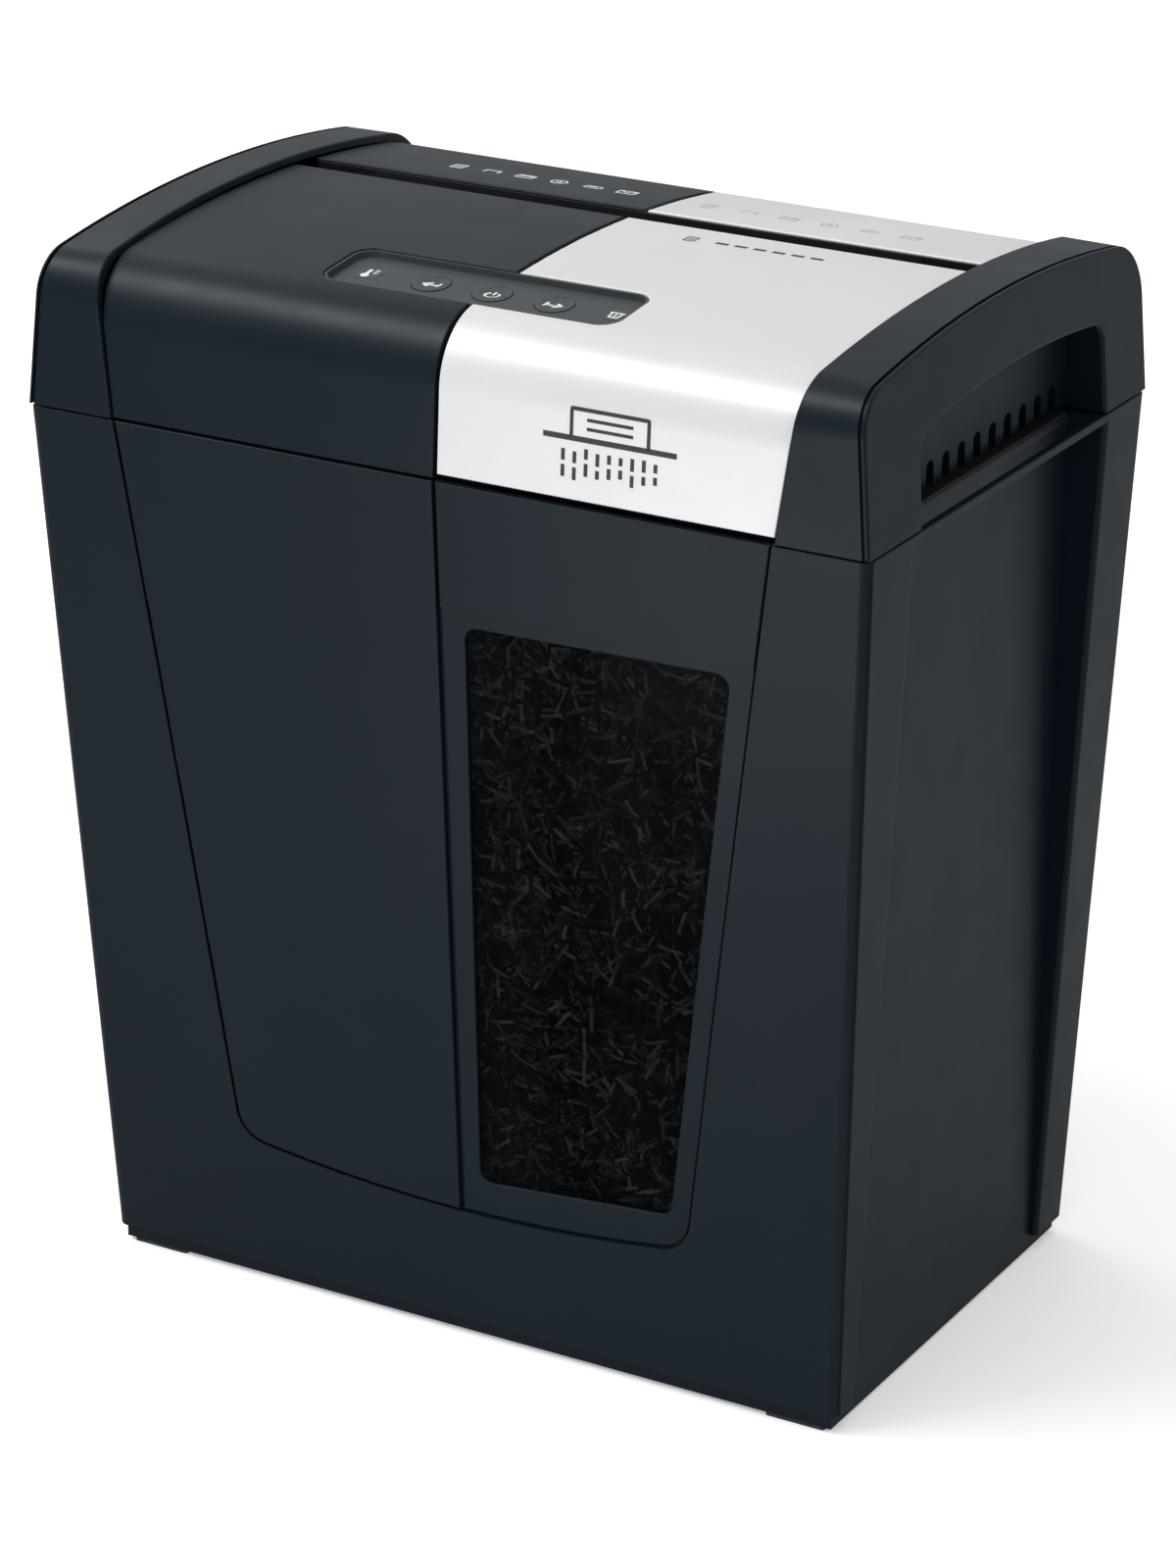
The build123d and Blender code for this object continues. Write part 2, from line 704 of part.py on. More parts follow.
def plate_holes():
    holes = [(BUSH_R, FRONT_CUTTER_Y, CUTTER_Z), (BUSH_R, REAR_CUTTER_Y, CUTTER_Z)]
    return holes + [(1.75, y, z) for y, z in TIE_RODS]


def left_side_plate():
    return side_plate(-PLATE_X - PLATE_THICKNESS, plate_holes())


def right_side_plate():
    holes = plate_holes()
    holes.append((6.0, MOTOR_Y, MOTOR_Z))
    holes.append((AXLE_R, *first_axis()))
    holes.append((AXLE_R, *middle_axis()))
    holes += [(1.75, y, z) for y, z in motor_screw_points()]
    return side_plate(PLATE_X, holes)


def tie_rods():
    """Four spacer rods between the side plates."""
    rods = []
    for y, z in TIE_RODS:
        rod = x_rod(3.0, -PLATE_X, PLATE_X, y, z)
        rods.append(rod - x_rod(1.75, -120, -96, y, z) - x_rod(1.75, 96, 120, y, z))
    return Compound(children=rods)


def screw_x(x_face, direction, length, y, z):
    """A socket screw along X, its head on a face, its shank along -direction."""
    outer = x_face + direction * 3.0
    inner = x_face - direction * length
    head = x_rod(3.6, min(x_face, outer), max(x_face, outer), y, z)
    shank = x_rod(1.75, min(inner, x_face), max(inner, x_face), y, z)
    socket = Pos(outer, y, z) * Rot(0, 90, 0) * extrude(RegularPolygon(1.6, 6), 1.6, both=True)
    return head + shank - socket


def frame_screws():
    """Eight screws that hold the side plates to the tie rods."""
    screws = []
    for y, z in TIE_RODS:
        screws.append(screw_x(-PLATE_X - PLATE_THICKNESS, -1, 14, y, z))
        screws.append(screw_x(PLATE_X + PLATE_THICKNESS, 1, 14, y, z))
    return Compound(children=screws)


def shaft_bushes():
    """Four flanged bushes in the side plates, one for each shaft end."""
    bushes = []
    for y in (FRONT_CUTTER_Y, REAR_CUTTER_Y):
        for side in (-1, 1):
            inner = side * (PLATE_X - 0.8)
            outer = side * (PLATE_X + PLATE_THICKNESS + 0.6)
            low, high = min(inner, outer), max(inner, outer)
            bush = x_rod(BUSH_R, low, high, y, CUTTER_Z)
            flange = x_rod(BUSH_R + 1.5, min(inner, side * PLATE_X), max(inner, side * PLATE_X),
                           y, CUTTER_Z)
            bushes.append(bush + flange - x_rod(SHAFT_R + RUNNING, low - 1, high + 1, y, CUTTER_Z))
    return Compound(children=bushes)


def disc_face(turn):
    """A cutting disc with hooked teeth."""
    step = 2 * math.pi / CUTTER_TEETH
    points = []
    for tooth in range(CUTTER_TEETH):
        start = turn + tooth * step
        for share, radius in ((0.0, CUTTER_R), (0.38, CUTTER_R), (0.72, 18.2), (0.96, 16.4)):
            angle = start + share * step
            points.append((radius * math.cos(angle), radius * math.sin(angle)))
    return polygon(points)


def disc_centre(number, shift):
    return (number - (DISC_COUNT - 1) / 2) * DISC_PITCH + shift


def cutter(y, shift, x_left, x_right, hand):
    """A cutting cylinder: a shaft with hooked discs and spacers, cut from one bar."""
    body = x_rod(SPACER_R, -114.6, 114.6, y, CUTTER_Z)
    body += x_rod(SHAFT_R, x_left, x_right, y, CUTTER_Z)
    discs = []
    for number in range(DISC_COUNT):
        turn = hand * number * math.radians(14)
        x_low = disc_centre(number, shift) - DISC_THICKNESS / 2
        face = Pos(y, CUTTER_Z) * disc_face(turn)
        discs.append(yz_prism(face, x_low, x_low + DISC_THICKNESS))
    return body + discs


def front_cutter():
    body = cutter(FRONT_CUTTER_Y, -DISC_PITCH / 4, -123.0, 133.5, 1)
    return body - clip_groove(FRONT_CUTTER_Y)


def rear_cutter():
    body = cutter(REAR_CUTTER_Y, DISC_PITCH / 4, -123.0, 126.5, -1)
    return body - clip_groove(REAR_CUTTER_Y)


def clip_groove(y):
    return x_tube(SHAFT_R + 1, SHAFT_R - 1, -121.6, -120.4, y, CUTTER_Z)


def shaft_clip(y):
    """An open retaining ring in the groove at the shaft's left end."""
    ring = x_tube(SHAFT_R + 2.5, SHAFT_R - 1, -121.6, -120.4, y, CUTTER_Z)
    return ring - block((-125, y - 3, CUTTER_Z - 12), (-118, y + 3, CUTTER_Z))


def front_shaft_clip():
    return shaft_clip(FRONT_CUTTER_Y)


def rear_shaft_clip():
    return shaft_clip(REAR_CUTTER_Y)


def comb(cutter_y, spine_low, spine_high, reach_low, reach_high, shift):
    """Stripper comb: a spine along X with a finger in each gap of one cutter."""
    comb_body = block((-115.4, spine_low, 342), (115.4, spine_high, 362))
    fingers = []
    for number in range(DISC_COUNT):
        x = disc_centre(number, shift)
        fingers.append(block((x - 0.85, reach_low, 344), (x + 0.85, reach_high, 360)))
    comb_body += fingers
    return comb_body - x_rod(SPACER_R + 0.4, -120, 120, cutter_y, CUTTER_Z)


def front_comb():
    return comb(FRONT_CUTTER_Y, -13.0, -8.0, -9.0, FRONT_CUTTER_Y, DISC_PITCH / 4)


def rear_comb():
    return comb(REAR_CUTTER_Y, 68.0, 73.0, REAR_CUTTER_Y, 69.0, -DISC_PITCH / 4)


# ---------------------------------------------------------------- gear train
def pitch_distance(module, teeth_a, teeth_b):
    return module * (teeth_a + teeth_b) / 2


def middle_axis():
    """Axis (y, z) of the second compound gear, beside the front cutter."""
    distance = pitch_distance(LAST_MODULE, LAST_PINION_TEETH, DRIVE_TEETH)
    angle = math.radians(165)
    return (FRONT_CUTTER_Y + distance * math.cos(angle), CUTTER_Z + distance * math.sin(angle))


def first_axis():
    """Axis (y, z) of the first compound gear, below the line from motor to second gear."""
    to_motor = pitch_distance(FIRST_MODULE, MOTOR_PINION_TEETH, FIRST_TEETH)
    to_middle = pitch_distance(MIDDLE_MODULE, MIDDLE_PINION_TEETH, MIDDLE_TEETH)
    middle_y, middle_z = middle_axis()
    base = math.dist((MOTOR_Y, MOTOR_Z), (middle_y, middle_z))
    along = (to_motor**2 - to_middle**2 + base**2) / (2 * base)
    aside = math.sqrt(to_motor**2 - along**2)
    unit_y = (middle_y - MOTOR_Y) / base
    unit_z = (middle_z - MOTOR_Z) / base
    return (MOTOR_Y + along * unit_y + aside * unit_z, MOTOR_Z + along * unit_z - aside * unit_y)


def gear_face(module, teeth, phase):
    """Outline of a spur gear with stub involute teeth, one tooth pointing at the phase angle."""
    pitch_r = module * teeth / 2
    base_r = pitch_r * math.cos(PRESSURE_ANGLE)
    tip_r = pitch_r + 0.8 * module
    root_r = pitch_r - 1.05 * module
    half_tooth = math.pi / (2 * teeth) - BACKLASH / (2 * pitch_r)
    half_base = half_tooth + math.tan(PRESSURE_ANGLE) - PRESSURE_ANGLE
    start_r = max(base_r, root_r)
    flank = [(root_r, half_base + 0.04)] if root_r < base_r else []
    for share in (0.0, 0.35, 0.7, 1.0):
        radius = start_r + share * (tip_r - start_r)
        roll = math.acos(base_r / radius)
        flank.append((radius, half_base - math.tan(roll) + roll))
    points = []
    for tooth in range(teeth):
        centre = phase + 2 * math.pi * tooth / teeth
        for radius, half in flank:
            points.append((radius * math.cos(centre - half), radius * math.sin(centre - half)))
        for radius, half in reversed(flank):
            points.append((radius * math.cos(centre + half), radius * math.sin(centre + half)))
    return polygon(points)


def meshed_phase(axis, teeth, phase, other_axis, other_teeth):
    """Phase of a gear whose gap faces the tooth of the gear it meshes with."""
    line = math.atan2(other_axis[1] - axis[1], other_axis[0] - axis[0])
    shift = teeth * (phase - line)
    return line + math.pi + (math.pi - shift) / other_teeth


def gear(module, teeth, phase, axis, x_low, x_high, bore):
    y, z = axis
    wheel = yz_prism(Pos(y, z) * gear_face(module, teeth, phase), x_low, x_high)
    return wheel - x_rod(bore, x_low - 1, x_high + 1, y, z)


def gear_phases():
    """Phase angle of every gear, worked out along the train from the front cutter."""
    front = (FRONT_CUTTER_Y, CUTTER_Z)
    rear = (REAR_CUTTER_Y, CUTTER_Z)
    motor = (MOTOR_Y, MOTOR_Z)
    middle = middle_axis()
    first = first_axis()
    phases = {"front": 0.0}
    phases["rear"] = meshed_phase(front, SYNC_TEETH, 0.0, rear, SYNC_TEETH)
    phases["middle_pinion"] = meshed_phase(front, DRIVE_TEETH, 0.0, middle, LAST_PINION_TEETH)
    phases["first_pinion"] = meshed_phase(middle, MIDDLE_TEETH, 0.0, first, MIDDLE_PINION_TEETH)
    phases["motor_pinion"] = meshed_phase(first, FIRST_TEETH, 0.0, motor, MOTOR_PINION_TEETH)
    return phases


def front_sync_gear():
    axis = (FRONT_CUTTER_Y, CUTTER_Z)
    return gear(SYNC_MODULE, SYNC_TEETH, 0.0, axis, 119.4, 125.4, SHAFT_R)


def rear_sync_gear():
    axis = (REAR_CUTTER_Y, CUTTER_Z)
    phase = gear_phases()["rear"]
    return gear(SYNC_MODULE, SYNC_TEETH, phase, axis, 119.4, 125.4, SHAFT_R)


def drive_gear():
    """The large gear on the front cutter's shaft."""
    axis = (FRONT_CUTTER_Y, CUTTER_Z)
    return gear(LAST_MODULE, DRIVE_TEETH, 0.0, axis, 126.4, 132.6, SHAFT_R)


def second_gear():
    """Compound gear: a large wheel and the pinion that turns the drive gear."""
    axis = middle_axis()
    bore = AXLE_R + RUNNING
    phase = gear_phases()["middle_pinion"]
    pinion = gear(LAST_MODULE, LAST_PINION_TEETH, phase, axis, 125.8, 134.2, bore)
    return pinion + gear(MIDDLE_MODULE, MIDDLE_TEETH, 0.0, axis, 134.0, 138.6, bore)


def first_gear():
    """Compound gear: the wheel at the motor pinion and the pinion of the next stage."""
    axis = first_axis()
    bore = AXLE_R + RUNNING
    phase = gear_phases()["first_pinion"]
    pinion = gear(MIDDLE_MODULE, MIDDLE_PINION_TEETH, phase, axis, 133.6, 139.8, bore)
    return pinion + gear(FIRST_MODULE, FIRST_TEETH, 0.0, axis, 139.6, 144.4, bore)


def gear_axles():
    """Two fixed pins that carry the compound gears."""
    pins = [x_rod(AXLE_R, PLATE_X, GEAR_COVER_X + 1.0, *axis) for axis in (first_axis(), middle_axis())]
    return Compound(children=pins)


def gear_cover():
    """The plate over the gears, on four posts."""
    corners = [(-80, 323), (52, 323), (52, 370), (36, 388), (-66, 388), (-80, 376)]
    plate = yz_prism(fillet(polygon(corners).vertices(), 4.0), GEAR_COVER_X, GEAR_COVER_X + 2.0)
    for y, z in ((-72, 334), (-68, 380), (36, 381), (46, 329)):
        plate += x_rod(3.5, PLATE_X + PLATE_THICKNESS, GEAR_COVER_X + 0.5, y, z)
    for y, z in (first_axis(), middle_axis()):
        plate -= x_rod(AXLE_R, GEAR_COVER_X - 1, GEAR_COVER_X + 1.0, y, z)
    return plate


# ---------------------------------------------------------------- motor
def motor_screw_points():
    return [(MOTOR_Y, MOTOR_Z + side * 20.0) for side in (-1, 1)]


def motor_can():
    """The drawn steel can, closed by its flange at the side plate."""
    can = x_tube(MOTOR_R, MOTOR_R - 2, 48, PLATE_X, MOTOR_Y, MOTOR_Z)
    flange = x_tube(MOTOR_R - 1, 6.0, PLATE_X - 4, PLATE_X, MOTOR_Y, MOTOR_Z)
    can += flange
    for y, z in motor_screw_points():
        can -= x_rod(1.75, PLATE_X - 6, PLATE_X + 1, y, z)
    for number in range(6):
        turn = Pos(0, MOTOR_Y, MOTOR_Z) * Rot(60 * number, 0, 0)
        can -= turn * block((54, -3, 20), (62, 3, 40))
    return can


def motor_end_bell():
    """The plastic end of the motor, open round its spokes."""
    ring = x_tube(MOTOR_R, MOTOR_R - 3, 41, 48, MOTOR_Y, MOTOR_Z)
    hub = x_tube(9.0, 6.0, 41, 48, MOTOR_Y, MOTOR_Z)
    bell = ring + hub
    for number in range(4):
        turn = Pos(0, MOTOR_Y, MOTOR_Z) * Rot(90 * number + 45, 0, 0)
        bell += turn * block((42, -2.5, 8), (46, 2.5, MOTOR_R - 2))
    return bell


def motor_stator():
    """Laminated ring with the field windings."""
    ring = x_tube(MOTOR_R - 2, 15.0, 68, 98, MOTOR_Y, MOTOR_Z)
    for side in (-1, 1):
        ring -= block((60, MOTOR_Y + side * 22 - 6, MOTOR_Z - 8), (100, MOTOR_Y + side * 22 + 6, MOTOR_Z + 8))
    return ring


def motor_bearings():
    """Sleeve bearings in both ends of the motor."""
    left = x_tube(6.0, MOTOR_SHAFT_R + RUNNING, 41.5, 47.5, MOTOR_Y, MOTOR_Z)
    right = x_tube(6.0, MOTOR_SHAFT_R + RUNNING, PLATE_X - 4, PLATE_X + 2, MOTOR_Y, MOTOR_Z)
    return Compound(children=[left, right])


def armature():
    """Rotor core, commutator and shaft."""
    shaft = x_rod(MOTOR_SHAFT_R, 28, 145, MOTOR_Y, MOTOR_Z)
    core = x_rod(14.4, 66, 100, MOTOR_Y, MOTOR_Z)
    for number in range(12):
        turn = Pos(0, MOTOR_Y, MOTOR_Z) * Rot(30 * number, 0, 0)
        core -= turn * block((60, -0.9, 9.5), (110, 0.9, 20))
    return shaft + core + x_rod(8.0, 51, 62, MOTOR_Y, MOTOR_Z)


def motor_pinion():
    phase = gear_phases()["motor_pinion"]
    return gear(FIRST_MODULE, MOTOR_PINION_TEETH, phase, (MOTOR_Y, MOTOR_Z), 139.8, 144.6,
                MOTOR_SHAFT_R)


def cooling_fan():
    """Hub and nine blades on the motor shaft's free end."""
    fan = x_tube(6.0, MOTOR_SHAFT_R, 29, 39, MOTOR_Y, MOTOR_Z)
    for number in range(9):
        turn = Pos(34, MOTOR_Y, MOTOR_Z) * Rot(40 * number, 0, 0)
        fan += turn * Pos(0, 0, 14) * Rot(0, 0, 35) * Box(10, 1.2, 18)
    return fan


def motor_screws():
    """Two screws that hold the motor to the side plate."""
    screws = [screw_x(PLATE_X + PLATE_THICKNESS, 1, 6, y, z) for y, z in motor_screw_points()]
    return Compound(children=screws)


# ---------------------------------------------------------------- electrics
def power_board():
    """The main board on four posts above the tray's floor."""
    board = block((-108, -86, 327), (18, -32, 328.6))
    for x in (-102, 12):
        for y in (-81, -37):
            board += z_rod(3.0, WELL_Z + WELL_WALL, 327.5, x, y)
    return board


def power_components():
    """Relays, capacitors and the transformer on the main board."""
    top = 328.6
    parts = [block((-100, -80, top), (-66, -48, top + 26)), block((-56, -82, top), (-38, -66, top + 15))]
    parts.append(block((-56, -60, top), (-38, -44, top + 15)))
    parts += [z_rod(6.0, top, top + 22, -24, -76), z_rod(6.0, top, top + 22, -24, -58)]
    parts.append(block((-10, -80, top), (12, -70, top + 12)))
    parts.append(block((-12, -52, top), (8, -40, top + 16)))
    return Compound(children=parts)


def switch_frame_block(grow):
    return block((-120 - grow, 92, 352 - grow), (-98 + grow, 111.6, 382 + grow))


def mains_switch():
    """The body of the mains switch in the back, open where the rocker tilts."""
    body = switch_frame_block(0) - block((-115.4, 97, 356), (-102.6, 113, 378))
    return body - x_rod(ROCKER_PIN_R + RUNNING, -117, -101, *ROCKER_AXIS)


def mains_rocker():
    """The rocker key, tilted to its first position, with its pivot pin."""
    profile = [(-4, -9.4), (5.2, -9.8), (3.9, 0), (5.2, 9.8), (-4, 9.4)]
    key = yz_prism(polygon(profile), -115, -103)
    y, z = ROCKER_AXIS
    return Pos(0, y, z) * Rot(-8, 0, 0) * key + x_rod(ROCKER_PIN_R, -116.8, -101.2, y, z)


def gland_rod(radius):
    return Pos(GLAND_X, 110, GLAND_Z) * Rot(90, 0, 0) * Cylinder(radius, 12)


def cord_gland():
    """The empty cord bush in the back."""
    flange = Pos(GLAND_X, 105.5, GLAND_Z) * Rot(90, 0, 0) * Cylinder(9.5, 3)
    body = Pos(GLAND_X, 107.8, GLAND_Z) * Rot(90, 0, 0) * Cylinder(7.0, 7.6)
    return body + flange - gland_rod(3.7)


def safety_switch():
    """Microswitch over the bin's post, on a leg that stands on the tray's flange."""
    body = block((-161, 94, RIM_TOP_Z), (-147, 106, 366))
    body += block((-150, 94, FLANGE_TOP_Z), (-147, 103, RIM_TOP_Z + 1))
    return body - z_rod(2.6, 345, 359.5, INTERLOCK_X, INTERLOCK_Y)


def interlock_plunger():
    """The switch's plunger, pushed up by the bin's post while the head is on the bin."""
    return z_rod(2.5, 347.3, 355.8, INTERLOCK_X, INTERLOCK_Y)


# ---------------------------------------------------------------- export
PIECES = [
    bin_shell, front_panel, window_frame, bin_window, rubber_feet,
    front_cover_black, silver_panel, rear_strip_black, rear_strip_silver, rear_cover,
    left_end_cap, right_end_cap, slot_throat, paper_sensors, control_bezel, led_bar,
    indicator_lenses, control_pcb, head_tray, housing_screws, left_side_plate,
    right_side_plate, tie_rods, frame_screws, shaft_bushes, front_cutter, rear_cutter,
    front_shaft_clip, rear_shaft_clip, front_comb, rear_comb, front_sync_gear,
    rear_sync_gear, drive_gear, second_gear, first_gear, gear_axles, gear_cover, motor_can,
    motor_end_bell, motor_stator, motor_bearings, armature, motor_pinion, cooling_fan,
    motor_screws, power_board, power_components, mains_switch, mains_rocker, cord_gland,
    safety_switch, interlock_plunger,
]


def main():
    os.makedirs("parts", exist_ok=True)
    for piece in PIECES:
        export_step(piece(), f"parts/{piece.__name__}.step")
    for name, x in BUTTON_XS.items():
        export_step(push_button(x), f"parts/{name}.step")


main()
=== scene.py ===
import json
import math
import random

import bpy
from mathutils import Matrix, Vector, noise
from mathutils.bvhtree import BVHTree


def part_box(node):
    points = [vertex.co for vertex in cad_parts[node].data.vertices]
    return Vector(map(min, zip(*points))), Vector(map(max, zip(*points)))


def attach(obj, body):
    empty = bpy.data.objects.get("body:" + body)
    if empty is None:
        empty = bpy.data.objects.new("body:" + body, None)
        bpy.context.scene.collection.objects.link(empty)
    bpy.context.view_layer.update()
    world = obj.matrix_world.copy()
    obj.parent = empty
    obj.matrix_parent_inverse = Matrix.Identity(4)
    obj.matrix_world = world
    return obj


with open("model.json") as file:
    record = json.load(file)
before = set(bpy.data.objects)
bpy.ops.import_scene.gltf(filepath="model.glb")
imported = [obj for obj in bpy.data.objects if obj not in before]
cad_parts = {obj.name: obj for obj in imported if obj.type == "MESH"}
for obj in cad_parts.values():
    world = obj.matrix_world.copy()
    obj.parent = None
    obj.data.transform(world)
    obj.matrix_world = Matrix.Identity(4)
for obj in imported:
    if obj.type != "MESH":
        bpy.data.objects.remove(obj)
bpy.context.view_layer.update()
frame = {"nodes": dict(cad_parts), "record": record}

# The paper shredder's looks: materials for every CAD piece, the paper in the bin, and the
# printed symbols. Metres, in the CAD frame: +X right, -Y front, +Z up.

NODES = frame["nodes"]
MM = 0.001
RIGHT = Vector((1, 0, 0))
BACK = Vector((0, 1, 0))
UP = Vector((0, 0, 1))


# ---------------------------------------------------------------- camera
CAMERA_AZIMUTH = math.radians(29.59)
CAMERA_ELEVATION = math.radians(21.842)
CAMERA_ROLL = math.radians(0.397)
CAMERA_DISTANCE = 1.9298
CAMERA_TARGET = Vector((-0.0001, 0.0, 0.1902))
CAMERA_LENS = 118.345
CAMERA_REACH = 100.0


def make_camera():
    """A long lens, right of the front and above."""
    back = Vector((
        math.sin(CAMERA_AZIMUTH) * math.cos(CAMERA_ELEVATION),
        -math.cos(CAMERA_AZIMUTH) * math.cos(CAMERA_ELEVATION),
        math.sin(CAMERA_ELEVATION),
    ))
    level = Vector((math.cos(CAMERA_AZIMUTH), math.sin(CAMERA_AZIMUTH), 0.0))
    upright = back.cross(level)
    right = math.cos(CAMERA_ROLL) * level + math.sin(CAMERA_ROLL) * upright
    up = math.cos(CAMERA_ROLL) * upright - math.sin(CAMERA_ROLL) * level
    turn = Matrix((right, up, back)).transposed().to_4x4()
    data = bpy.data.cameras.new("camera")
    data.lens = CAMERA_LENS
    data.clip_end = CAMERA_REACH
    camera = bpy.data.objects.new("camera", data)
    camera.matrix_world = Matrix.Translation(CAMERA_TARGET + CAMERA_DISTANCE * back) @ turn
    bpy.context.scene.collection.objects.link(camera)
    bpy.context.scene.camera = camera


# ---------------------------------------------------------------- meshes
class Bands:
    """Thin closed bands, gathered into one mesh. Each ring of a band has four corners."""

    def __init__(self):
        self.vertices = []
        self.faces = []
        self.tones_and_painted_shades = []

    def add(self, rings, tone_and_painted_shade=1.0):
        first = len(self.vertices)
        for ring in rings:
            self.vertices.extend(ring)
            self.tones_and_painted_shades.extend([tone_and_painted_shade] * 4)
        for number in range(len(rings) - 1):
            low = first + 4 * number
            for corner in range(4):
                beside = (corner + 1) % 4
                self.faces.append((low + corner, low + beside, low + 4 + beside, low + 4 + corner))
        last = first + 4 * (len(rings) - 1)
        self.faces.append((first + 3, first + 2, first + 1, first))
        self.faces.append((last, last + 1, last + 2, last + 3))

    def piece(self, name, material, body):
        return make_piece(name, self.vertices, self.faces, material, body, self.tones_and_painted_shades)


def make_piece(name, vertices, faces, material, body, tones_and_painted_shades=None):
    """A mesh object that rides on a CAD body."""
    mesh = bpy.data.meshes.new(name)
    mesh.from_pydata([tuple(vertex) for vertex in vertices], [], faces)
    mesh.materials.append(material)
    if tones_and_painted_shades:
        tone_and_painted_shade = mesh.attributes.new("tone_and_painted_shade", "FLOAT", "POINT")
        tone_and_painted_shade.data.foreach_set("value", tones_and_painted_shades)
    mesh.validate()
    piece = bpy.data.objects.new(name, mesh)
    bpy.context.scene.collection.objects.link(piece)
    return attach(piece, body)


def grid_faces(columns, rows):
    """The faces of a grid whose points are listed row by row."""
    faces = []
    for row in range(rows):
        for column in range(columns):
            first = row * (columns + 1) + column
            faces.append((first, first + 1, first + columns + 2, first + columns + 1))
    return faces


# ---------------------------------------------------------------- materials
EVEN = (1.0, 1.0, 1.0)       # a texture that isn't stretched


class Paint:
    """A Principled material whose nodes read positions on the object, in metres."""

    def __init__(self, name, colour, roughness, **sockets):
        self.material = bpy.data.materials.new(name)
        self.material.use_nodes = True
        self.nodes = self.material.node_tree.nodes
        self.links = self.material.node_tree.links
        self.shader = self.nodes["Principled BSDF"]
        self.place = self.nodes.new("ShaderNodeTexCoord").outputs["Object"]
        self.shader.inputs["Base Color"].default_value = (*colour, 1.0)
        self.shader.inputs["Roughness"].default_value = roughness
        for socket, value in sockets.items():
            self.shader.inputs[socket.replace("_", " ")].default_value = value

    def noise(self, scale, detail=2.0, stretch=EVEN):
        """Soft random values; scale is in waves per metre."""
        node = self.nodes.new("ShaderNodeTexNoise")
        node.inputs["Scale"].default_value = scale
        node.inputs["Detail"].default_value = detail
        self.links.new(self.stretched(stretch), node.inputs["Vector"])
        return node.outputs["Fac"]

    def cells(self, scale, feature="F1", stretch=EVEN, output="Distance"):
        """Distances or colours of random cells."""
        node = self.nodes.new("ShaderNodeTexVoronoi")
        node.feature = feature
        node.inputs["Scale"].default_value = scale
        self.links.new(self.stretched(stretch), node.inputs["Vector"])
        return node.outputs[output]

    def stretched(self, stretch):
        if stretch == EVEN:
            return self.place
        node = self.nodes.new("ShaderNodeMapping")
        node.inputs["Scale"].default_value = stretch
        self.links.new(self.place, node.inputs["Vector"])
        return node.outputs["Vector"]

    def rings(self, centre, spacing):
        """Lathe marks: circles round a line along X."""
        node = self.nodes.new("ShaderNodeMapping")
        node.inputs["Location"].default_value = (0.0, -centre.y, -centre.z)
        node.inputs["Scale"].default_value = (0.0, 1.0, 1.0)
        self.links.new(self.place, node.inputs["Vector"])
        wave = self.nodes.new("ShaderNodeTexWave")
        wave.wave_type = "RINGS"
        wave.rings_direction = "X"
        wave.inputs["Scale"].default_value = 1.0 / (spacing * 20.0)
        wave.inputs["Distortion"].default_value = 0.6
        self.links.new(node.outputs["Vector"], wave.inputs["Vector"])
        return wave.outputs["Fac"]

    def between(self, value, low, high, start=0.35, end=0.65):
        """A value stretched from one range onto another."""
        node = self.nodes.new("ShaderNodeMapRange")
        node.inputs["From Min"].default_value = start
        node.inputs["From Max"].default_value = end
        node.inputs["To Min"].default_value = low
        node.inputs["To Max"].default_value = high
        self.links.new(value, node.inputs["Value"])
        return node.outputs["Result"]

    def blend(self, factor, first, second):
        """A colour between two others; each is a colour or another blend's output."""
        node = self.nodes.new("ShaderNodeMix")
        node.data_type = "RGBA"
        self.links.new(factor, node.inputs["Factor"])
        colour_sockets = node.inputs[6], node.inputs[7]
        for socket, colour in zip(colour_sockets, (first, second)):
            if isinstance(colour, tuple):
                socket.default_value = (*colour, 1.0)
            else:
                self.links.new(colour, socket)
        return node.outputs[2]

    def colour(self, output):
        self.links.new(output, self.shader.inputs["Base Color"])

    def roughness(self, output):
        self.links.new(output, self.shader.inputs["Roughness"])

    def bump(self, height, distance, strength=1.0, under=None):
        """Raises the surface by a height; under is another bump below this one."""
        node = self.nodes.new("ShaderNodeBump")
        node.inputs["Strength"].default_value = strength
        node.inputs["Distance"].default_value = distance
        self.links.new(height, node.inputs["Height"])
        if under is not None:
            self.links.new(under, node.inputs["Normal"])
        self.links.new(node.outputs["Normal"], self.shader.inputs["Normal"])
        return node.outputs["Normal"]

    def tone_and_painted_shade(self):
        """The value that a piece's mesh holds for each of its bands: the paper's tone, which for the strips
        behind the pane is mostly painted shade.
        """
        node = self.nodes.new("ShaderNodeAttribute")
        node.attribute_name = "tone_and_painted_shade"
        return node.outputs["Fac"]


def moulded(name, dark, light, roughness, **sockets):
    """Moulded plastic: spark-eroded grain, faint flow marks, rubbed and dusty patches."""
    paint = Paint(name, dark, roughness, **sockets)
    flow = paint.noise(7.0, 3.0, (1.0, 1.0, 0.6))
    tone = paint.blend(paint.between(flow, 0.0, 1.0), dark, light)
    lint = paint.between(paint.noise(900.0, 1.0), 0.0, 0.35, 0.70, 0.80)
    pale = tuple(min(1.0, 2.2 * value + 0.01) for value in light)
    paint.colour(paint.blend(lint, tone, pale))
    rubbed = paint.between(paint.noise(45.0, 4.0), roughness - 0.02, roughness + 0.03)
    paint.roughness(rubbed)
    grain = paint.bump(paint.noise(2600.0, 2.0), 0.00003, 0.5)
    paint.bump(paint.noise(150.0, 1.0), 0.00002, 0.2, grain)
    return paint.material


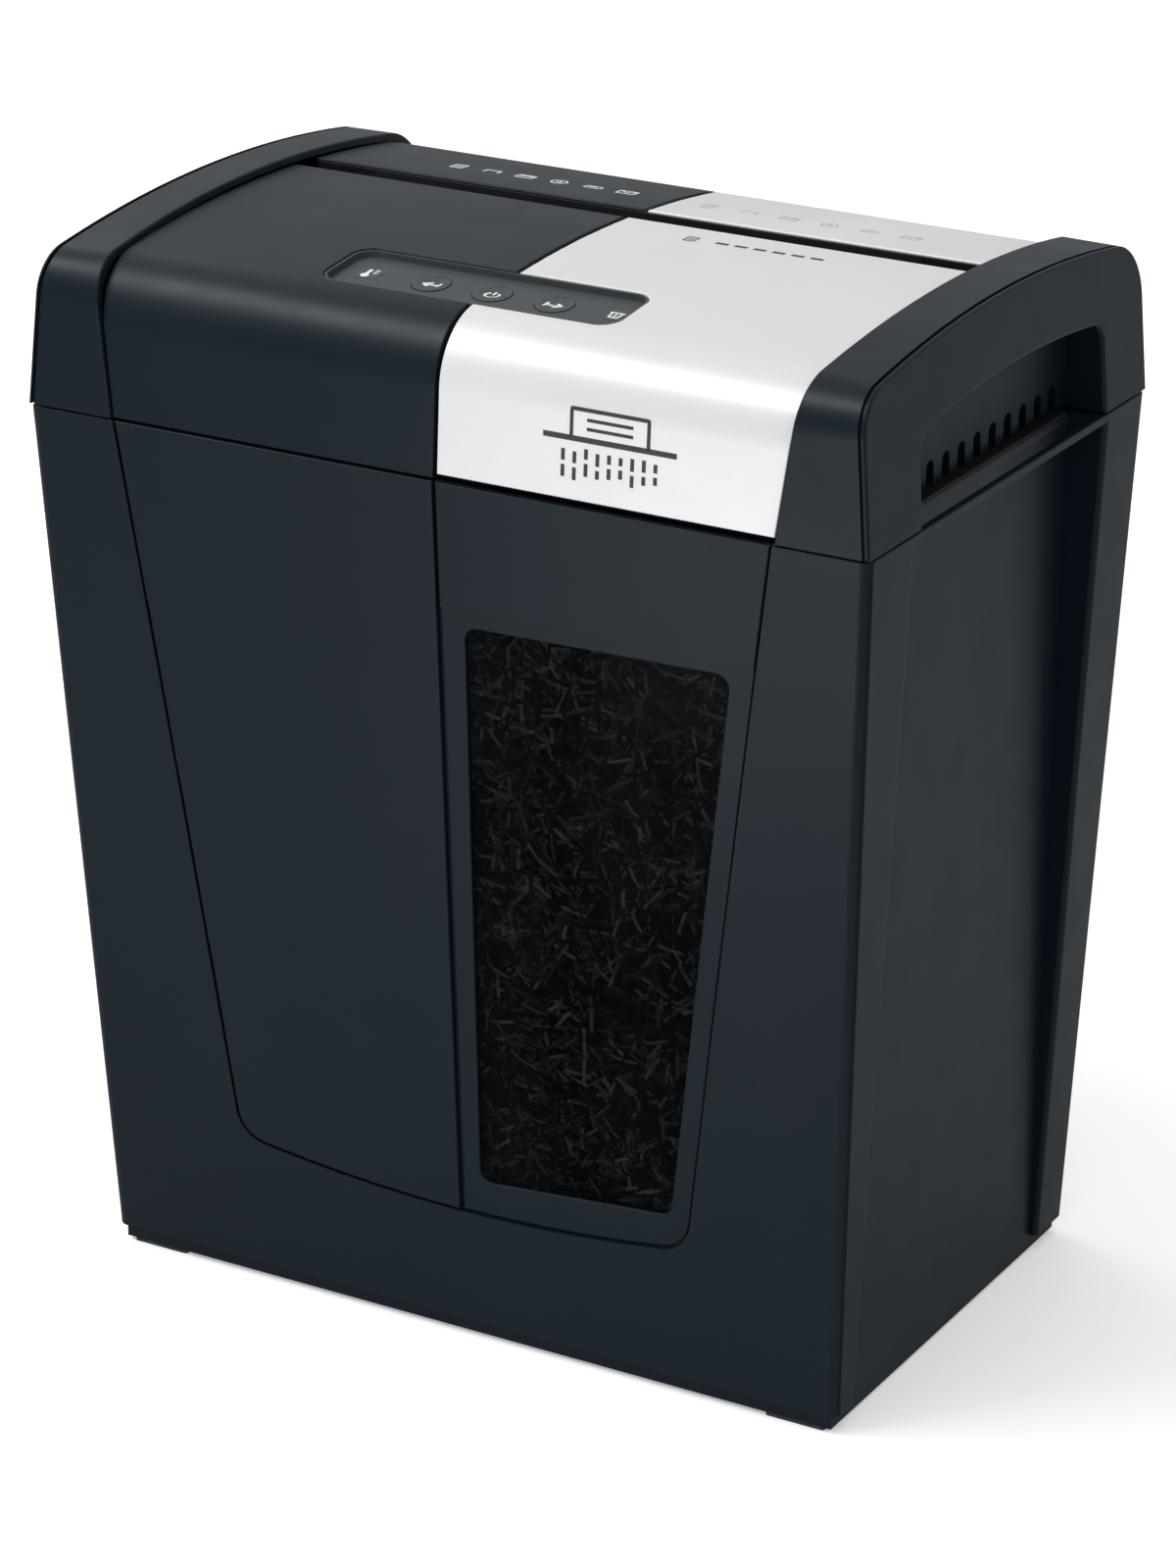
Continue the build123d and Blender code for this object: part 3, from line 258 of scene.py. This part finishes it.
def silver_paint():
    """Satin silver lacquer: fine metal flake, a little cloudy."""
    bright, clouded, glint = (0.64, 0.645, 0.65), (0.60, 0.607, 0.615), (0.86, 0.86, 0.86)
    paint = Paint("silver_lacquer", bright, 0.40, Metallic=0.15, Specular_IOR_Level=0.3)
    flake = paint.cells(3600.0, output="Color")
    sparkle = paint.between(flake, 0.0, 1.0, 0.0, 1.0)
    cloud = paint.between(paint.noise(5.0, 2.0), 0.0, 0.35)
    tone = paint.blend(cloud, bright, clouded)
    paint.colour(paint.blend(paint.between(sparkle, 0.0, 0.22, 0.5, 1.0), tone, glint))
    paint.roughness(paint.between(paint.noise(26.0, 4.0), 0.31, 0.42))
    paint.bump(paint.noise(1500.0, 1.0), 0.00001, 0.4)
    return paint.material


def smoked_pane():
    """Tinted acrylic with wiping marks."""
    paint = Paint("smoked_acrylic", (0.001, 0.0015, 0.002), 0.12, Alpha=0.6, Specular_IOR_Level=0.02)
    wiped = paint.noise(30.0, 4.0, (1.0, 1.0, 0.35))
    paint.roughness(paint.between(wiped, 0.07, 0.2))
    smear = paint.between(wiped, 0.0, 1.0)
    paint.colour(paint.blend(smear, (0.0008, 0.0014, 0.002), (0.0025, 0.0035, 0.0042)))
    paint.bump(paint.noise(16.0, 1.0), 0.0001, 0.15)
    return paint.material


def paper():
    """Copier paper in strips: each strip has a tone from near black to white, with fibres and print on some;
    the near-black end is painted shade for strips inside the closed bin.
    """
    paint = Paint("shredded_paper", (0.5, 0.5, 0.5), 0.85, Specular_IOR_Level=0.2)
    # The near-black end is painted shade, taken by the strips behind the smoked pane; the white end is the
    # paper's own colour.
    strip_tone_and_painted_shade = paint.blend(paint.tone_and_painted_shade(), (0.002, 0.003, 0.0035), (0.72, 0.76, 0.77))
    print_marks = paint.between(paint.cells(420.0, output="Color"), 0.0, 0.5, 0.6, 0.75)
    paint.colour(paint.blend(print_marks, strip_tone_and_painted_shade, (0.004, 0.005, 0.005)))
    paint.roughness(paint.between(paint.noise(300.0, 3.0), 0.75, 0.95))
    paint.bump(paint.noise(2200.0, 3.0), 0.00006, 0.6)
    return paint.material


def paper_heap_in_painted_shade():
    """The mass of paper under the strips that lie on top, near black all through: painted shade for the
    depths of the closed bin.
    """
    paint = Paint("packed_paper_in_painted_shade", (0.1, 0.1, 0.1), 0.95, Specular_IOR_Level=0.1)
    crumbs = paint.between(paint.cells(210.0, stretch=(1.0, 1.0, 1.6), output="Color"), 0.0, 1.0, 0.2, 0.9)
    # Both colours are near black: painted shade in place of the paper's own white, with random crumbs between
    # them.
    paint.colour(paint.blend(crumbs, (0.0015, 0.002, 0.0025), (0.010, 0.011, 0.012)))
    paint.roughness(paint.between(paint.noise(200.0), 0.85, 1.0))
    paint.bump(paint.cells(240.0), 0.003, 0.9)
    return paint.material


def rubber():
    """Foot pads, scuffed and dusty."""
    paint = Paint("rubber_pads", (0.02, 0.02, 0.021), 0.82, Specular_IOR_Level=0.3)
    dust = paint.between(paint.noise(160.0, 4.0), 0.0, 1.0)
    paint.colour(paint.blend(dust, (0.014, 0.014, 0.015), (0.05, 0.048, 0.046)))
    paint.roughness(paint.between(paint.noise(90.0), 0.72, 0.92))
    paint.bump(paint.noise(1400.0, 3.0), 0.00008, 0.7)
    return paint.material


def turned_steel(node):
    """Turned steel: lathe rings round the node's middle, under patches of oily film."""
    low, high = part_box(node)
    paint = Paint(node + "_steel", (0.42, 0.41, 0.40), 0.32, Metallic=1.0)
    oil = paint.between(paint.noise(60.0, 4.0), 0.0, 1.0)
    paint.colour(paint.blend(oil, (0.50, 0.49, 0.47), (0.25, 0.235, 0.22)))
    paint.roughness(paint.between(paint.noise(120.0, 3.0), 0.22, 0.45))
    paint.bump(paint.rings((low + high) / 2, 0.0004), 0.00004, 0.6)
    return paint.material


def sheet_steel():
    """Zinc-plated sheet with crystal spangle and rolling scratches."""
    paint = Paint("zinc_steel", (0.55, 0.56, 0.57), 0.38, Metallic=1.0)
    spangle = paint.between(paint.cells(170.0, output="Color"), 0.0, 1.0, 0.1, 0.9)
    paint.colour(paint.blend(spangle, (0.44, 0.45, 0.46), (0.66, 0.67, 0.68)))
    scratches = paint.noise(180.0, 3.0, (14.0, 1.0, 1.0))
    paint.roughness(paint.between(scratches, 0.28, 0.5))
    paint.bump(scratches, 0.00003, 0.5)
    return paint.material


def nylon_gear():
    """Cream glass-filled nylon, with grey grease in patches."""
    paint = Paint("nylon", (0.62, 0.60, 0.53), 0.42)
    patches = paint.noise(55.0, 4.0)
    grease = paint.between(patches, 0.0, 0.8, 0.5, 0.62)
    paint.colour(paint.blend(grease, (0.64, 0.61, 0.53), (0.20, 0.19, 0.16)))
    paint.roughness(paint.between(patches, 0.5, 0.18, 0.5, 0.62))
    paint.bump(paint.noise(800.0, 3.0), 0.00005, 0.5)
    return paint.material


def bronze():
    """Sintered bronze: small pores, uneven tarnish."""
    paint = Paint("sintered_bronze", (0.45, 0.27, 0.12), 0.45, Metallic=1.0)
    tarnish = paint.between(paint.noise(240.0, 4.0), 0.0, 1.0)
    paint.colour(paint.blend(tarnish, (0.36, 0.21, 0.09), (0.56, 0.36, 0.17)))
    paint.roughness(paint.between(paint.noise(300.0), 0.35, 0.6))
    paint.bump(paint.cells(2600.0), 0.00008, 0.7)
    return paint.material


def circuit_board():
    """Green solder mask over copper tracks."""
    paint = Paint("circuit_board", (0.01, 0.10, 0.045), 0.3, Coat_Weight=0.4)
    tracks = paint.cells(260.0, "DISTANCE_TO_EDGE", (1.0, 1.0, 0.2))
    copper = paint.between(tracks, 1.0, 0.0, 0.05, 0.09)
    paint.colour(paint.blend(copper, (0.008, 0.085, 0.036), (0.03, 0.19, 0.08)))
    paint.roughness(paint.between(paint.noise(90.0), 0.24, 0.4))
    paint.bump(copper, 0.00004, 0.6)
    return paint.material


def component_cases():
    """Dark cases of electronic parts, each patch a little different."""
    paint = Paint("component_cases", (0.03, 0.03, 0.032), 0.5)
    patches = paint.between(paint.cells(90.0, output="Color"), 0.0, 1.0, 0.2, 0.8)
    paint.colour(paint.blend(patches, (0.018, 0.018, 0.02), (0.09, 0.085, 0.08)))
    paint.roughness(paint.between(paint.noise(220.0), 0.4, 0.65))
    paint.bump(paint.noise(1600.0), 0.00004, 0.6)
    return paint.material


def light_bar():
    """Milky diffuser over the status light."""
    paint = Paint("milky_diffuser", (0.86, 0.88, 0.88), 0.35, Emission_Strength=0.25)
    paint.shader.inputs["Emission Color"].default_value = (0.95, 0.98, 1.0, 1.0)
    milk = paint.between(paint.noise(500.0), 0.0, 1.0)
    paint.colour(paint.blend(milk, (0.82, 0.84, 0.85), (0.9, 0.91, 0.91)))
    paint.roughness(paint.between(paint.noise(200.0), 0.28, 0.42))
    paint.bump(paint.noise(900.0), 0.00003, 0.5)
    return paint.material


def printed(name, colour):
    """Pad-printed ink, slightly uneven from the grain under it."""
    paint = Paint(name, colour, 0.55, Specular_IOR_Level=0.3)
    thin = tuple(0.8 * value for value in colour)
    cover = paint.between(paint.noise(1900.0, 2.0), 0.0, 1.0)
    paint.colour(paint.blend(cover, colour, thin))
    paint.roughness(paint.between(paint.noise(700.0), 0.45, 0.65))
    paint.bump(paint.noise(2600.0), 0.00002, 0.5)
    return paint.material


BLACK = (0.003, 0.0082, 0.0142), (0.0042, 0.0100, 0.0160)
INNER_BLACK = (0.006, 0.007, 0.008), (0.010, 0.011, 0.012)
GREY = (0.052, 0.060, 0.064), (0.062, 0.070, 0.075)
LENS_GREY = (0.048, 0.056, 0.060), (0.058, 0.066, 0.071)


def paint_nodes():
    """A material for every CAD node, by its slot in the record."""
    by_slot = {
        "black_plastic": moulded("black_plastic", *BLACK, 0.37, Specular_IOR_Level=0.17),
        "inner_plastic": moulded("inner_plastic", *INNER_BLACK, 0.55, Specular_IOR_Level=0.12),
        "grey_plastic": moulded("grey_plastic", *GREY, 0.46, Specular_IOR_Level=0.12),
        "lens": moulded("dead_front_lens", *LENS_GREY, 0.34, Specular_IOR_Level=0.15),
        "silver_plastic": silver_paint(),
        "smoked_window": smoked_pane(),
        "rubber": rubber(),
        "gear_plastic": nylon_gear(),
        "sheet_steel": sheet_steel(),
        "bronze": bronze(),
        "circuit_board": circuit_board(),
        "components": component_cases(),
    }
    for subpart in frame["record"]["subparts"]:
        node = subpart["node"]
        material = by_slot.get(subpart["material_slot"]) or turned_steel(node)
        dress(NODES[node], material)
    dress(NODES["led_bar"], light_bar())


def dress(piece, material):
    piece.data.materials.clear()
    piece.data.materials.append(material)


# ---------------------------------------------------------------- printed symbols
INK = 0.00006                # how far the ink stands off the surface
STEP = 0.8 * MM              # longest straight stretch of an inked line
OVERHEAD = 0.43              # a height above the whole shredder
PEN_REACH = 0.05             # how far a pen starts before its origin
ARC_STEP = 15.0              # degrees


def surface_of(node):
    """A search tree over the faces of a CAD node."""
    mesh = NODES[node].data
    vertices = [vertex.co.copy() for vertex in mesh.vertices]
    faces = [tuple(face.vertices) for face in mesh.polygons]
    return BVHTree.FromPolygons(vertices, faces)


class Print:
    """Draws lines in millimetres on a surface, seen along a direction."""

    def __init__(self, node, origin, up=BACK, towards=-UP):
        self.surface = surface_of(node)
        self.origin = Vector(origin)
        self.up = up
        self.towards = towards
        self.bands = Bands()

    def lands(self, point):
        """Where a drawn point meets the surface, and the normal there."""
        start = self.origin + MM * (point[0] * RIGHT + point[1] * self.up)
        hit, normal, _, _ = self.surface.ray_cast(start - PEN_REACH * self.towards, self.towards)
        if normal.dot(self.towards) > 0:
            normal = -normal
        return hit, normal

    def line(self, points, width=0.8):
        """An inked line through some points."""
        path = [Vector(points[0])]
        for a, b in zip(points, points[1:]):
            run = Vector(b) - Vector(a)
            count = max(1, math.ceil(run.length * MM / STEP))
            path.extend(Vector(a) + run * number / count for number in range(1, count + 1))
        rings = []
        for number, point in enumerate(path):
            run = path[min(number + 1, len(path) - 1)] - path[max(number - 1, 0)]
            aside = Vector((-run.y, run.x)).normalized() * width / 2
            left, left_normal = self.lands(point + aside)
            right, right_normal = self.lands(point - aside)
            rings.append((
                left + INK * left_normal, right + INK * right_normal,
                right - INK * right_normal, left - INK * left_normal,
            ))
        self.bands.add(rings)

    def arc(self, centre, radius, start, end, width=0.8):
        count = max(6, round(abs(end - start) / ARC_STEP))
        points = []
        for number in range(count + 1):
            angle = math.radians(start + (end - start) * number / count)
            points.append((centre[0] + radius * math.cos(angle), centre[1] + radius * math.sin(angle)))
        self.line(points, width)

    def box(self, x, y, width, height, line_width=0.8):
        left, right = x - width / 2, x + width / 2
        low, high = y - height / 2, y + height / 2
        middle = (x, low)
        self.line([middle, (right, low), (right, high), (left, high), (left, low), middle], line_width)

    def ink(self, name, material, body="head"):
        """Turns the drawing into a piece."""
        self.bands.piece(name, material, body)


def page(pen, x, y, size=1.0):
    """A sheet of paper with two lines on it."""
    pen.box(x, y, 4.6 * size, 6.2 * size, 0.7)
    for row in (-1.0, 1.0):
        pen.line([(x - 1.2 * size, y + row * size), (x + 1.2 * size, y + row * size)], 0.7)


def card(pen, x, y):
    pen.box(x, y, 7.0, 4.6, 0.7)
    pen.line([(x - 3.4, y + 0.9), (x + 3.4, y + 0.9)], 1.0)


def disc(pen, x, y):
    for radius in (3.1, 0.9):
        pen.arc((x, y), radius, 0, 360, 0.7)


def staple(pen, x, y):
    pen.line([(x - 3.0, y - 1.8), (x - 3.0, y + 1.8), (x + 3.0, y + 1.8), (x + 3.0, y - 1.8)])


def clip(pen, x, y):
    """A paper clip on its side."""
    pen.line([(x - 3.4, y + 1.6), (x + 2.2, y + 1.6)], 0.6)
    pen.arc((x + 2.2, y), 1.6, 90, -90, 0.6)
    pen.line([(x + 2.2, y - 1.6), (x - 2.4, y - 1.6)], 0.6)
    pen.arc((x - 2.4, y - 0.5), 1.1, 270, 90, 0.6)
    pen.line([(x - 2.4, y + 0.6), (x + 1.6, y + 0.6)], 0.6)


def envelope(pen, x, y):
    pen.box(x, y, 7.2, 5.0, 0.7)
    pen.line([(x - 3.4, y + 2.2), (x, y - 0.4), (x + 3.4, y + 2.2)], 0.7)


SYMBOLS = (page, staple, card, disc, clip, envelope)


def symbol_row(name, node, ink, first_x, pitch, y):
    """What may be fed: a row of small symbols behind the slot."""
    pen = Print(node, (0, y, OVERHEAD))
    for number, symbol in enumerate(SYMBOLS):
        symbol(pen, first_x + pitch * number, 0.0)
    pen.ink(name, ink)


METER_Y = 0.0085
METER_BARS = 6
METER_FIRST_X = 46.0         # the first bar, in millimetres
METER_PITCH = 7.6
METER_BAR = 5.0


def sheet_meter(ink):
    """A page and a row of bars on the silver top: how many sheets fit at once."""
    pen = Print("silver_panel", (0, METER_Y, OVERHEAD))
    page(pen, 36.0, 0.0, 0.85)
    for number in range(METER_BARS):
        x = METER_FIRST_X + METER_PITCH * number
        pen.line([(x, 0.0), (x + METER_BAR, 0.0)], 2.0)
    pen.ink("sheet_meter", ink)


EMBLEM_X = 0.0697
EMBLEM_Z = 0.3645
EMBLEM_COLUMNS = 9
EMBLEM_PITCH = 4.5


def emblem(ink):
    """A page above a slot, falling as particles: the mark on the silver front."""
    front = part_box("silver_panel")[0].y
    pen = Print("silver_panel", (EMBLEM_X, front, EMBLEM_Z), UP, BACK)
    pen.line([(-26.0, 1.5), (26.0, 1.5)], 2.0)
    pen.line([(-15.0, 2.0), (-15.0, 12.0), (15.0, 12.0), (15.0, 2.0)], 1.4)
    for row in (5.4, 8.6):
        pen.line([(-9.0, row), (9.0, row)], 1.2)
    shapes = random.Random(5)
    for column in range(EMBLEM_COLUMNS):
        x = EMBLEM_PITCH * (column - (EMBLEM_COLUMNS - 1) / 2)
        top = -1.6 - shapes.uniform(0.0, 1.6)
        for _ in range(2):
            length = shapes.uniform(2.8, 4.6)
            pen.line([(x, top), (x, top - length)], 1.5)
            top -= length + 1.5
    pen.ink("front_emblem", ink)


def key_pen(node):
    """A pen over the middle of a key."""
    low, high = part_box(node)
    middle = (low + high) / 2
    return Print(node, (middle.x, middle.y, high.z))


def key_symbols(ink):
    """Arrows on the two direction keys and a power ring between them."""
    for name, way in (("reverse", -1.0), ("forward", 1.0)):
        pen = key_pen(name + "_button")
        pen.line([(-2.9 * way, -0.2), (1.6 * way, -0.2)], 1.1)
        pen.line([(0.2 * way, 2.2), (3.0 * way, -0.2), (0.2 * way, -2.6)], 1.1)
        pen.line([(-3.3 * way, 2.0), (-3.3 * way, -2.4)], 0.9)
        pen.ink(name + "_symbol", ink, name + "_key")
    pen = key_pen("power_button")
    pen.arc((0.0, -0.3), 2.6, 125, 415, 0.9)
    pen.line([(0.0, 0.3), (0.0, 3.2)], 0.9)
    pen.ink("power_symbol", ink, "power_key")


WARM_INSET = 5.0 * MM        # from the lenses' ends to the middle of each symbol
FULL_INSET = 6.6 * MM


def lens_symbols(ink):
    """Warm motor and full bin, on the small windows at the panel's ends."""
    low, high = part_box("indicator_lenses")
    y = (low.y + high.y) / 2
    pen = Print("indicator_lenses", (low.x + WARM_INSET, y, high.z))
    pen.line([(-0.8, 3.2), (-0.8, -1.0)], 1.4)
    pen.arc((-0.8, -2.0), 0.9, 0, 360, 1.4)
    for row in (0.4, 1.8, 3.2):
        pen.line([(1.2, row), (2.8, row)], 0.6)
    pen.ink("warm_symbol", ink)
    pen = Print("indicator_lenses", (high.x - FULL_INSET, y, high.z))
    pen.line([(-2.1, 1.7), (-1.6, -2.5), (1.6, -2.5), (2.1, 1.7)], 0.8)
    pen.line([(-2.9, 1.7), (2.9, 1.7)], 0.8)
    pen.line([(0.0, 0.9), (0.0, -1.9)], 0.7)
    pen.ink("full_symbol", ink)


def print_symbols():
    white_ink = printed("white_ink", (0.82, 0.83, 0.83))
    pale_ink = printed("pale_grey_ink", (0.42, 0.43, 0.44))
    dark_ink = printed("dark_grey_ink", (0.035, 0.038, 0.042))
    symbol_row("left_symbols", "rear_strip_black", white_ink, -92.0, 14.5, 0.0605)
    symbol_row("right_symbols", "rear_strip_silver", pale_ink, 16.0, 16.5, 0.0590)
    sheet_meter(dark_ink)
    emblem(dark_ink)
    key_symbols(white_ink)
    lens_symbols(white_ink)


# ---------------------------------------------------------------- shredded paper
STRIP_WIDTH = 1.2 * MM
STRIP_THICKNESS = 0.12 * MM
STRIP_BENDS = 3              # straight stretches along a bent strip
PANE_STRIPS = 4600
HEAP_STRIPS = 5200
PANE_OVERLAP = 4.0 * MM      # how far strips reach past the pane's edges
HEAP_GAP = 12.0 * MM         # from the pane's inner face to the solid heap
HEAP_HALF_WIDTH = 0.147
HEAP_FOOT = 0.0115           # just above the bin's floor
HEAP_LEVEL = 0.30            # the height where the heap's outline is taken
HEAP_CROWN = 0.303           # its highest point
HEAP_COLUMNS = 60
HEAP_ROWS = 36
WALL_GAP = 1.5 * MM
BIN_WALL = 3.0 * MM
BIN_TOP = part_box("bin_shell")[1]
REAR_LEAN = 10.5 * MM        # how far the rear wall comes forward at the floor


def strip_rings(centre, along, outward, length, curl):
    """A strip of paper bent into an arc; curl is its bend in radians."""
    aside = along.cross(outward).normalized()
    radius = length / curl
    rings = []
    for number in range(STRIP_BENDS + 1):
        angle = curl * (number / STRIP_BENDS - 0.5)
        spine = centre + radius * (math.sin(angle) * along + (1 - math.cos(angle)) * outward)
        face = (math.cos(angle) * outward - math.sin(angle) * along).normalized()
        half = STRIP_WIDTH / 2 * aside
        thick = STRIP_THICKNESS / 2 * face
        rings.append((spine + half + thick, spine - half + thick, spine - half - thick, spine + half - thick))
    return rings


def loose_direction(chance, up, outward, tilt):
    """A random direction mostly in the plane of RIGHT and up, and a face that looks outward."""
    turn = chance.uniform(0, 2 * math.pi)
    lift = chance.uniform(-tilt, tilt)
    along = math.cos(turn) * RIGHT + math.sin(turn) * up
    along = (math.cos(lift) * along + math.sin(lift) * outward).normalized()
    roll = chance.uniform(-1.5 * tilt, 1.5 * tilt)
    face = (outward - outward.dot(along) * along).normalized()
    face = math.cos(roll) * face + math.sin(roll) * along.cross(face)
    return along, face.normalized()


def pane_face():
    """The smoked pane's inner face: a point on it, its normal and the way up it."""
    mesh = NODES["bin_window"].data
    back = max((face for face in mesh.polygons if face.normal.y > 0.9), key=lambda face: face.area)
    normal = back.normal.copy()
    up = (UP - normal.z * normal).normalized()
    return back.center.copy(), normal, up


PANE = pane_face()


def bin_limits(z):
    """The front of the heap and the inside of the bin's rear wall at a height."""
    point, normal, _ = PANE
    front = point.y - (z - point.z) * normal.z / normal.y + HEAP_GAP
    share = z / BIN_TOP.z
    rear = BIN_TOP.y - BIN_WALL - WALL_GAP - (1 - share) * REAR_LEAN
    return front, rear


def heap_top(x, y):
    """Height of the heap: fullest under the cutters, uneven everywhere."""
    crown = HEAP_CROWN - 0.006 * (x / 0.15) ** 2 - 0.010 * max(0.0, y / 0.1) ** 2
    lumps = 0.004 * noise.noise(Vector((x, y, 0.0)) * 30)
    crumbs = 0.0015 * noise.noise(Vector((x, y, 1.0)) * 120)
    return crown + lumps + crumbs


def heap_rim():
    """The numbers of the points round the edge of the heap's top, in order."""
    width = HEAP_COLUMNS + 1
    rim = list(range(HEAP_COLUMNS))
    rim += [row * width + HEAP_COLUMNS for row in range(HEAP_ROWS)]
    rim += [HEAP_ROWS * width + column for column in range(HEAP_COLUMNS, 0, -1)]
    rim += [row * width for row in range(HEAP_ROWS, 0, -1)]
    return rim


def heap():
    """The closed mass of packed paper, from the bin's floor to an uneven top; its near-black colour is
    painted shade.
    """
    top_front, top_rear = bin_limits(HEAP_LEVEL)
    vertices = []
    for row in range(HEAP_ROWS + 1):
        for column in range(HEAP_COLUMNS + 1):
            x = HEAP_HALF_WIDTH * (2 * column / HEAP_COLUMNS - 1)
            y = top_front + (top_rear - top_front) * row / HEAP_ROWS
            vertices.append(Vector((x, y, heap_top(x, y))))
    faces = grid_faces(HEAP_COLUMNS, HEAP_ROWS)
    rim = heap_rim()
    base = len(vertices)
    front, rear = bin_limits(HEAP_FOOT)
    for index in rim:
        top = vertices[index]
        share = (top.y - top_front) / (top_rear - top_front)
        vertices.append(Vector((top.x, front + share * (rear - front), HEAP_FOOT)))
    for number, index in enumerate(rim):
        beside = (number + 1) % len(rim)
        faces.append((index, base + number, base + beside, rim[beside]))
    faces.append(tuple(reversed(range(base, base + len(rim)))))
    make_piece("paper_heap_in_painted_shade", vertices, faces, paper_heap_in_painted_shade(), "bin")


def strips_at_pane(chance, material):
    """Strips between the pane and the heap; those near the pane lie flat against it. Most get tones near
    black: painted shade for the unlit inside of the bin.
    """
    point, normal, up = PANE
    low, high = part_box("bin_window")
    nearest, spread = 1.2 * MM, HEAP_GAP - 2.0 * MM
    bands = Bands()
    for _ in range(PANE_STRIPS):
        z = chance.uniform(low.z - PANE_OVERLAP, high.z + PANE_OVERLAP / 2)
        depth = nearest + spread * chance.random() ** 1.3
        x = chance.uniform(low.x - PANE_OVERLAP, high.x + PANE_OVERLAP)
        centre = point + RIGHT * (x - point.x) + up * ((z - point.z) / up.z) + normal * depth
        tilt = min(0.6, (depth - 0.4 * MM) / (9.0 * MM))
        along, face = loose_direction(chance, up, -normal, tilt)
        length = chance.uniform(5.0, 12.0) * MM
        curl = chance.uniform(0.1, 0.6)
        # Tones cubed, so most strips here come out near black: painted shade inside the bin.
        bands.add(strip_rings(centre, along, face, length, -curl), chance.random() ** 3)
    bands.piece("paper_strips_front", material, "bin")


def strips_on_heap(chance, material):
    """Strips that lie on top of the heap, seen when the head is off."""
    bands = Bands()
    front, rear = bin_limits(HEAP_LEVEL)
    for _ in range(HEAP_STRIPS):
        x = chance.uniform(-HEAP_HALF_WIDTH + 6.0 * MM, HEAP_HALF_WIDTH - 6.0 * MM)
        y = chance.uniform(front + 4.0 * MM, rear - 9.0 * MM)
        centre = Vector((x, y, heap_top(x, y) + chance.uniform(0.5, 4.0) * MM))
        along, face = loose_direction(chance, BACK, UP, 0.3)
        length = chance.uniform(6.0, 14.0) * MM
        curl = chance.uniform(0.1, 0.7)
        bands.add(strip_rings(centre, along, face, length, curl), chance.random() ** 0.6)
    bands.piece("paper_strips_top", material, "bin")


def paper_in_bin():
    """The heap and the strips that show, through the pane and from above."""
    loose = paper()
    heap()
    chance = random.Random(11)
    strips_at_pane(chance, loose)
    strips_on_heap(chance, loose)


# ---------------------------------------------------------------- stage and light
FLOOR_SIZE = 40.0
FLOOR_CELLS = 8
FLOOR_WHITE = (0.92, 0.92, 0.92)
FLOOR_REFLECTED = (0.42, 0.44, 0.45)     # its colour in reflections
FLOOR_GLOW = 0.10                        # light that it gives off besides
FLOOR_GLOW_SEEN = 0.30                   # and how bright that looks in the picture
DOME_STRENGTH = 0.76
DOME_LOW = (0.42, 0.43, 0.44, 1.0)
DOME_HIGH = (1.2, 1.2, 1.2, 1.0)
DOME_HIGH_AT = 0.8                       # sine of the elevation where it is brightest


def make_stage():
    """A plain pale floor, dimmer in reflections than in the picture."""
    vertices = []
    for row in range(FLOOR_CELLS + 1):
        for column in range(FLOOR_CELLS + 1):
            x = FLOOR_SIZE * (column / FLOOR_CELLS - 0.5)
            y = FLOOR_SIZE * (row / FLOOR_CELLS - 0.5)
            vertices.append((x, y, 0.0))
    mesh = bpy.data.meshes.new("floor")
    mesh.from_pydata(vertices, [], grid_faces(FLOOR_CELLS, FLOOR_CELLS))
    floor = bpy.data.objects.new("floor", mesh)
    bpy.context.scene.collection.objects.link(floor)
    dress(floor, floor_paint())


def floor_paint():
    paint = Paint("pale_floor", FLOOR_WHITE, 0.9, Specular_IOR_Level=0.0)
    paint.shader.inputs["Emission Color"].default_value = (1.0, 1.0, 1.0, 1.0)
    rays = paint.nodes.new("ShaderNodeLightPath")
    seen = paint.between(rays.outputs["Is Camera Ray"], FLOOR_GLOW, FLOOR_GLOW_SEEN, 0.0, 1.0)
    paint.links.new(seen, paint.shader.inputs["Emission Strength"])
    paint.colour(paint.blend(rays.outputs["Is Glossy Ray"], FLOOR_WHITE, FLOOR_REFLECTED))
    return paint.material


def softbox(name, place, target, size, power):
    data = bpy.data.lights.new(name, "AREA")
    data.shape = "RECTANGLE"
    data.size, data.size_y = size
    data.energy = power
    light = bpy.data.objects.new(name, data)
    light.location = place
    light.rotation_mode = "QUATERNION"
    light.rotation_quaternion = (Vector(target) - Vector(place)).to_track_quat("-Z", "Y")
    bpy.context.scene.collection.objects.link(light)


def make_dome():
    """A studio dome, brightest overhead."""
    world = bpy.data.worlds.new("studio")
    bpy.context.scene.world = world
    world.use_nodes = True
    nodes, links = world.node_tree.nodes, world.node_tree.links
    direction = nodes.new("ShaderNodeTexCoord")
    split = nodes.new("ShaderNodeSeparateXYZ")
    ramp = nodes.new("ShaderNodeValToRGB")
    low, high = ramp.color_ramp.elements
    low.position, low.color = 0.0, DOME_LOW
    high.position, high.color = DOME_HIGH_AT, DOME_HIGH
    links.new(direction.outputs["Generated"], split.inputs["Vector"])
    links.new(split.outputs["Z"], ramp.inputs["Fac"])
    links.new(ramp.outputs["Color"], nodes["Background"].inputs["Color"])
    nodes["Background"].inputs["Strength"].default_value = DOME_STRENGTH


def make_light():
    """The dome, softboxes above and on the left, and a small low one by the front."""
    make_dome()
    middle = (0.0, 0.0, 0.2)
    right_cap = (0.15, -0.1, 0.34)
    softbox("top_softbox", (-1.1, -0.9, 2.15), middle, (1.5, 0.5), 27.0)
    softbox("left_softbox", (-2.0, 1.2, 1.3), middle, (0.8, 1.4), 8.0)
    softbox("low_softbox", (-0.05, -0.60, 0.16), right_cap, (0.3, 0.3), 0.75)
    bpy.context.scene.view_settings.view_transform = "Standard"


make_camera()
make_stage()
make_light()
paint_nodes()
print_symbols()
paper_in_bin()
